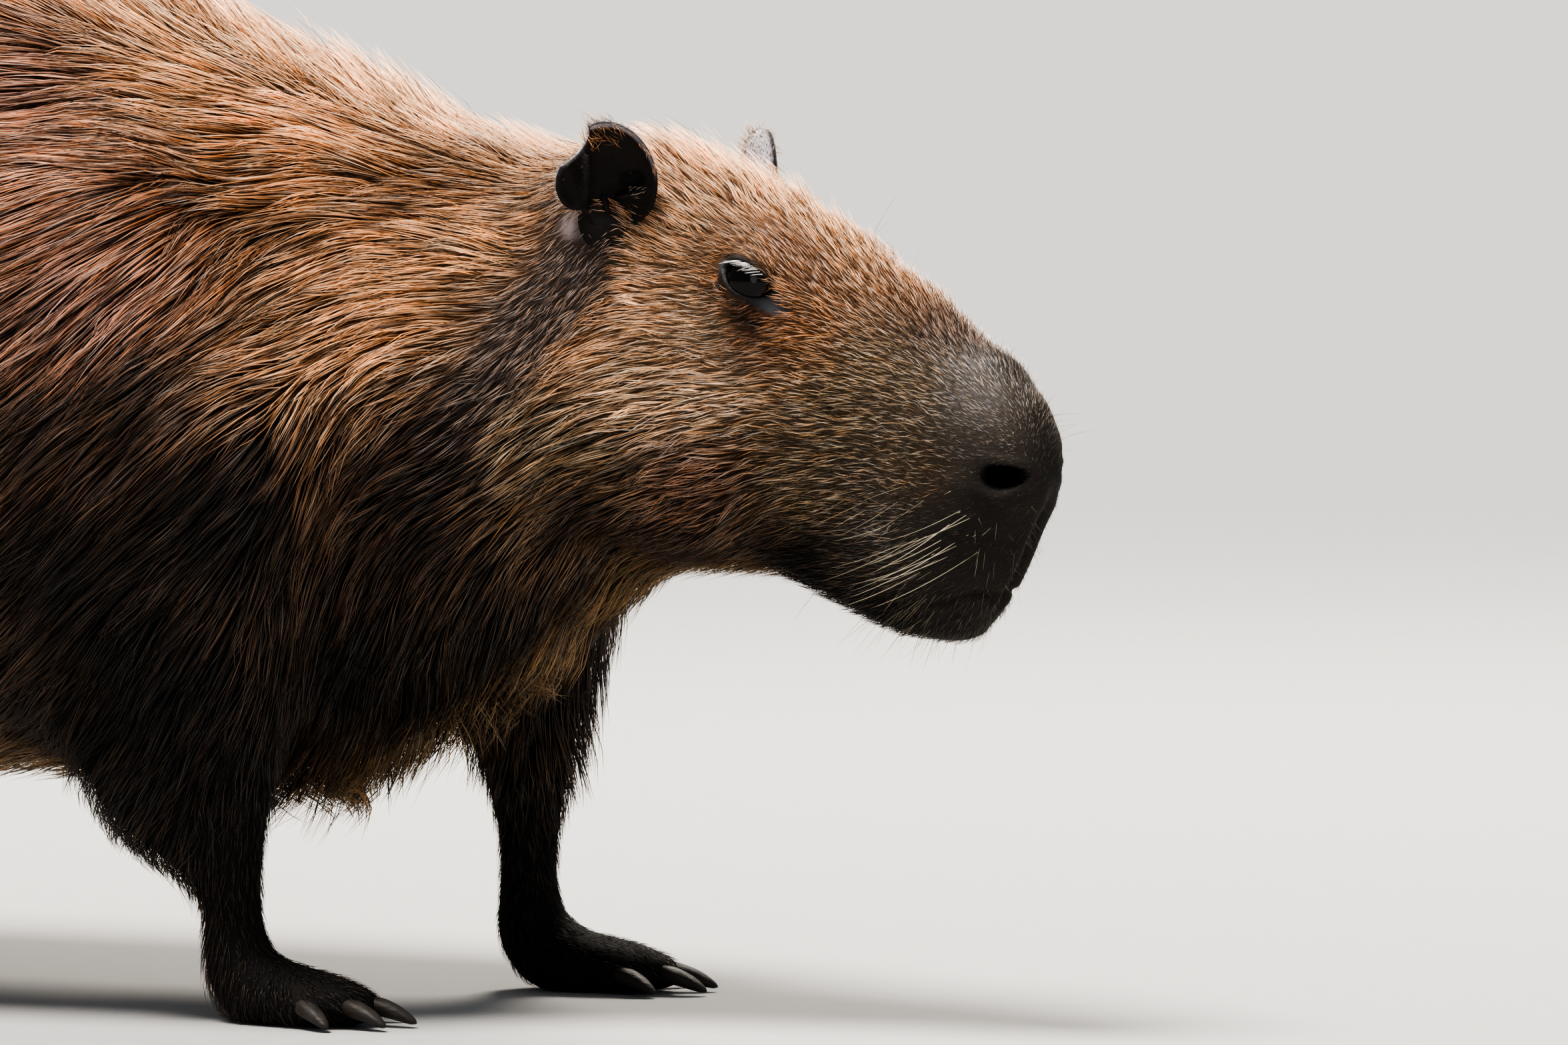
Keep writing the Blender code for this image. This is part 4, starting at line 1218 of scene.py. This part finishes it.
# Ellipsoids: middle, half sizes, and turn in degrees about Y. The ear stands with its face to +Y.
EAR_FORMS = (
    ((0.0040, 0.0000, 0.0078), (0.0200, 0.0100, 0.0262), -15),
    ((-0.0140, 0.0020, 0.0065), (0.0086, 0.0066, 0.0120), 0),
    ((-0.0010, -0.0058, -0.0205), (0.0152, 0.0122, 0.0210), 0),
)
EAR_NOTCH = ((-0.0185, 0.0000, 0.0304), (0.0150, 0.0300, 0.0138), 0)
EAR_CUP = ((0.0040, 0.0068, 0.0078), (0.0196, 0.0116, 0.0258), -15)
EAR_HOLLOWS = (
    EAR_CUP,
    ((-0.0142, 0.0078, 0.0065), (0.0076, 0.0062, 0.0108), 0),
    ((0.0125, -0.0020, 0.0035), (0.0062, 0.0052, 0.0038), -5),
    ((0.0050, 0.0006, -0.0135), (0.0050, 0.0070, 0.0036), -10),
    ((0.0035, 0.0000, -0.0062), (0.0026, 0.0060, 0.0040), 0),
    ((-0.0055, 0.0000, -0.0085), (0.0036, 0.0060, 0.0070), 10),
)
EAR_FOLDS = (
    ((0.0120, -0.0008, -0.0022), (0.0088, 0.0034, 0.0015), -8),
    ((0.0000, -0.0014, -0.0100), (0.0015, 0.0036, 0.0095), -8),
    ((-0.0078, 0.0004, 0.0080), (0.0020, 0.0024, 0.0120), 10),
)


def ellipsoid(place, radii, turn):
    bpy.ops.mesh.primitive_uv_sphere_add(segments=40, ring_count=24, radius=1)
    form = bpy.context.object
    tilt = Matrix.Rotation(math.radians(turn), 4, "Y")
    form.data.transform(Matrix.Translation(place) @ tilt @ Matrix.Diagonal((*radii, 1)))
    return form


def around(points, form):
    """0 in the middle of an ellipsoid and 1 on its surface."""
    place, radii, turn = form
    tilt = np.array(Matrix.Rotation(math.radians(turn), 3, "Y"))
    return np.linalg.norm((points - np.array(place)) @ tilt / np.array(radii), axis=1)


leaf = joined([ellipsoid(*form) for form in EAR_FORMS], "ear")
modified(leaf, "REMESH", mode="VOXEL", voxel_size=EAR_VOXEL)
for hollow in (*EAR_HOLLOWS, EAR_NOTCH):
    tool = ellipsoid(*hollow)
    modified(leaf, "BOOLEAN", operation="DIFFERENCE", solver="EXACT", object=tool)
    bpy.data.objects.remove(tool)
leaf = joined([leaf] + [ellipsoid(*fold) for fold in EAR_FOLDS], "ear")
modified(leaf, "REMESH", mode="VOXEL", voxel_size=EAR_VOXEL)
modified(leaf, "SMOOTH", factor=0.5, iterations=5)
upright, leaf_normals = points_of(leaf), normals_of(leaf)
cup_ring = around(upright, EAR_CUP)
front = smoothstep(-0.15, 0.25, leaf_normals[:, 1]) * smoothstep(-0.0045, -0.0015, upright[:, 1])
for hollow in EAR_HOLLOWS:
    front = np.maximum(front, 1 - smoothstep(1.10, 1.25, around(upright, hollow)))
front = np.maximum(front, 1 - smoothstep(-0.008, 0.000, upright[:, 2]))
# The rim is paler only along its top and front, as a painted highlight.
rim_highlight = smoothstep(0.965, 1.00, cup_ring) * smoothstep(0.0016, 0.0034, upright[:, 1])
rim_highlight *= smoothstep(0.000, 0.014, upright[:, 2]) * smoothstep(-0.010, -0.004, upright[:, 0])
ear_tones = np.outer(1 - front, EAR_BACK) + np.outer(front, EAR_INSIDE)
ear_tones += (np.array(EAR_RIM_HIGHLIGHT) - ear_tones) * rim_highlight[:, None]
add_attribute(leaf, "coat_colour", "FLOAT_COLOR", opaque(ear_tones))
smooth(leaf)

ear_finish = Finish("ear_hide", Roughness=0.8, Specular_IOR_Level=0.3)
ear_finish.feed(ear_finish.shader, {
    "Base Color": ear_finish.mottled(ear_finish.attribute("coat_colour"), ear_finish.noise(180.0)),
    "Normal": ear_finish.bump(ear_finish.noise(650.0, 5.0), 0.8, 0.0012),
})
ear_finish.cover(leaf)

TUFT_BALL = ((0.014, 0.002, -0.001), (0.005, 0.005, 0.005), 0)
on_back = (1 - front) + 0.004
on_top = (upright[:, 1] < -0.001) * (upright[:, 2] > 0.018) * (upright[:, 0] < 0.012)
on_rim = rim_highlight * (upright[:, 2] > 0.008)
in_front = front * (around(upright, TUFT_BALL) < 1)
EAR_HAIRS = [
    # How many, the way they grow on the upright ear, their length in mm, width in mm, lift in degrees,
    # their colour, and the part of the ear that they grow on
    (1500, (-0.4, 0.0, 1.0), 3.6, 0.20, 34, (0.50, 0.42, 0.36), on_back),
    (80, (-0.5, -0.3, 1.0), 11, 0.26, 34, GOLD, on_top),
    (34, (0.5, 0.9, -0.9), 6.0, 0.24, 40, GOLD, on_rim),
    (14, (0.6, 0.8, 0.3), 5.5, 0.26, 45, CREAM, in_front),
]
rng_ear = np.random.default_rng(23)
paths, uprights, widths, tones = [], [], [], []
for number, way, size, thick, steep, tone, share in EAR_HAIRS:
    chosen = rng_ear.choice(len(upright), number, p=share / share.sum())
    ways = unit(unit(np.array(way, float)) + rng_ear.normal(0, 0.28, (number, 3)))
    out = leaf_normals[chosen]
    along = unit(ways - out * (ways * out).sum(1)[:, None])
    angle = np.radians(steep * rng_ear.uniform(0.4, 1.5, number))[:, None]
    reach = size / 1000 * rng_ear.uniform(0.55, 1.2, number)[:, None]
    places = [upright[chosen] - out * 0.0004]
    for bent in (angle, angle * 0.4):
        places.append(places[-1] + (along * np.cos(bent) + out * np.sin(bent)) * reach * 0.5)
    paths.append(np.stack(places, 1))
    uprights.append(np.stack([out] * 3, 1))
    widths.append(thick / 1000 * rng_ear.uniform(0.75, 1.2, number))
    tones.append(np.array(tone) * rng_ear.uniform(0.5, 1.4, number)[:, None])
paths, uprights, widths, tones = (np.concatenate(rows) for rows in (paths, uprights, widths, tones))
anywhere = 0.02 + 0.96 * rng_ear.random((len(paths), 2))
fuzz = blades("ear_fuzz", paths, uprights, widths, tones, np.zeros(len(paths)), anywhere)
head_setting = Matrix(np.vstack([np.hstack([head_axes, head_origin[:, None]]), (0, 0, 0, 1)]).tolist())
for side, name in ((1, "left"), (-1, "right")):
    setting = Matrix.Translation(EAR_PLACES[name]) @ Matrix.Diagonal((1, side, 1, 1))
    for degrees, axis in EAR_TURNS[name]:
        setting = setting @ Matrix.Rotation(math.radians(degrees), 4, axis)
    for source, label, slot in ((leaf, "ear_leaf", "ear_skin"), (fuzz, "ear_fuzz", "coat")):
        made = copied(source, f"{label}_{name}")
        made.data.transform(head_setting @ setting)
        if side < 0:
            made.data.flip_normals()
        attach(made, "root")
        if source is leaf:
            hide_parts(f"ear_{name}")
bpy.data.objects.remove(leaf)
bpy.data.objects.remove(fuzz)


# The claws. They are blunt, arched and dark, with fine ridges along them, and each is the CAD's claw
# made round.
CLAW_TONES = (0.012, 0.010, 0.009, 1), (0.046, 0.037, 0.031, 1)
claw_finish = Finish("claw_horn", Specular_IOR_Level=0.35)
claw_ridge = claw_finish.noise(900.0, 3.0, claw_finish.drawn_out(0.12))
claw_finish.feed(claw_finish.shader, {
    "Base Color": claw_finish.mixed(claw_finish.noise(150.0), *CLAW_TONES),
    "Roughness": 0.46 + 0.25 * claw_ridge,
    "Normal": claw_finish.bump(claw_ridge, 0.5, 0.0006),
})
for name in sorted(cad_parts):
    if not name.startswith("claw_"):
        continue
    horn = merged(copied(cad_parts[name], name.replace("claw", "nail")))
    modified(horn, "SUBSURF", levels=2, render_levels=2)
    smooth(horn)
    claw_finish.cover(horn)
    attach(horn, "root")
    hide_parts(name)


# The whiskers, lashes and bristles. They are stiff single hairs, much thicker than the coat: pale
# whiskers sweep back and down from the lip, dark ones stand on nose and chin, and lashes shade each eye.
WHISKERS = [
    # Where they start in the head's frame, how far they scatter, the way they grow, how many on each
    # side, their length in mm, their width in mm, how much they droop, and their colour
    ((-0.015, 0.034, -0.043), 0.014, (-0.50, 0.42, -0.78), 11, 52, 0.30, -0.30, (0.66, 0.57, 0.40)),
    ((-0.033, 0.040, -0.050), 0.020, (-0.55, 0.36, -0.76), 12, 46, 0.27, -0.25, (0.60, 0.51, 0.35)),
    ((-0.060, 0.044, -0.040), 0.030, (-0.70, 0.25, -0.62), 10, 28, 0.23, 0.10, (0.50, 0.41, 0.26)),
    ((-0.014, 0.016, -0.048), 0.016, (0.35, 0.35, -0.70), 9, 11, 0.20, 0.20, (0.34, 0.30, 0.24)),
    ((0.000, 0.005, -0.040), 0.022, (0.80, 0.10, -0.45), 16, 6, 0.18, 0.15, (0.40, 0.35, 0.27)),
    ((-0.022, 0.016, -0.085), 0.012, (0.10, 0.15, -0.95), 12, 20, 0.22, 0.05, (0.05, 0.04, 0.03)),
    ((-0.050, 0.020, -0.098), 0.024, (-0.35, 0.15, -0.90), 14, 22, 0.22, 0.05, (0.07, 0.055, 0.035)),
    ((-0.034, 0.028, -0.080), 0.024, (-0.35, 0.20, -0.90), 22, 13, 0.20, 0.10, (0.42, 0.35, 0.23)),
    ((-0.012, 0.008, 0.016), 0.012, (0.60, 0.15, 0.60), 5, 22, 0.17, 0.35, (0.03, 0.025, 0.02)),
    ((-0.150, 0.030, 0.052), 0.008, (0.25, 0.25, 0.90), 2, 34, 0.16, 0.10, (0.04, 0.03, 0.02)),
    ((-0.118, 0.012, 0.048), 0.016, (-0.10, 0.10, 0.95), 5, 18, 0.22, 0.10, (0.50, 0.44, 0.34)),
    ((-0.060, 0.010, 0.036), 0.030, (0.15, 0.10, 0.95), 12, 7, 0.20, 0.10, (0.02, 0.016, 0.014)),
    ((-0.135, 0.030, -0.102), 0.018, (-0.25, 0.10, -0.95), 12, 14, 0.45, 0.05, (0.03, 0.02, 0.02)),
]
WHISKER_BENDS = 7
LASH_PLACES = np.linspace(-0.66, 0.44, 26)
LASH_LENGTHS = (0.0050, 0.0088)
LASH_WIDTH = 0.00042
LASH_COLOUR = (0.60, 0.58, 0.57)
head_down = head_axes.T @ np.array((0, 0, -1.0))
paths, uprights, widths, tones = [], [], [], []
for start, scatter, way, number, size, thick, droop, tone in WHISKERS:
    for side in (1, -1):
        for _ in range(number):
            spot = (np.array(start) + rng.normal(0, scatter / 2, 3)) * (1, side, 1)
            heading = unit(unit(np.array(way, float)) * (1, side, 1) + rng.normal(0, 0.12, 3))
            below, outs = skin_below(from_head(spot)[None])
            at = to_head(below)[0]
            reach = size / 1000 * rng.uniform(0.6, 1.1)
            places = [at - heading * 0.001]
            for step in range(WHISKER_BENDS):
                bent = unit(heading + head_down * droop * (step / WHISKER_BENDS) ** 1.3)
                at = at + bent * reach / WHISKER_BENDS
                places.append(at)
            paths.append(from_head(np.array(places)))
            uprights.append(np.tile(outs[0], (WHISKER_BENDS + 1, 1)))
            widths.append(thick / 1000 * rng.uniform(0.75, 1.15))
            tones.append(np.array(tone) * rng.uniform(0.7, 1.15))
for side in (1, -1):
    along, up, out = eye_axes(side)
    for share in LASH_PLACES:
        across = share * EYE_HALF_WIDTH + rng.normal(0, 0.0005)
        above = slit_edge(np.array([across]))[0][0] + 0.0004
        proud = math.sqrt(max((EYE_RADIUS + LID_THICKNESS) ** 2 - across ** 2 - above ** 2, 1e-7))
        at = np.array(EYE_PLACE) * (1, side, 1) + along * across + up * above + out * proud
        places = [at]
        reach = rng.uniform(*LASH_LENGTHS)
        lean = rng.normal(0, 0.22)
        for step in range(WHISKER_BENDS):
            bent = unit(out * (0.75 - 0.85 * step / WHISKER_BENDS) - along * (0.85 + lean) - up * 0.70)
            at = at + bent * reach / WHISKER_BENDS
            places.append(at)
        paths.append(from_head(np.array(places)))
        uprights.append(np.tile(head_axes @ out, (WHISKER_BENDS + 1, 1)))
        widths.append(LASH_WIDTH * rng.uniform(0.7, 1.3))
        tones.append(np.array(LASH_COLOUR) * rng.uniform(0.5, 1.3))
paths, uprights, widths, tones = (np.array(rows) for rows in (paths, uprights, widths, tones))
anywhere = 0.02 + 0.96 * rng.random((len(paths), 2))
whiskers = blades("whiskers", paths, uprights, widths, tones, np.zeros(len(paths)), anywhere)
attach(whiskers, "root")
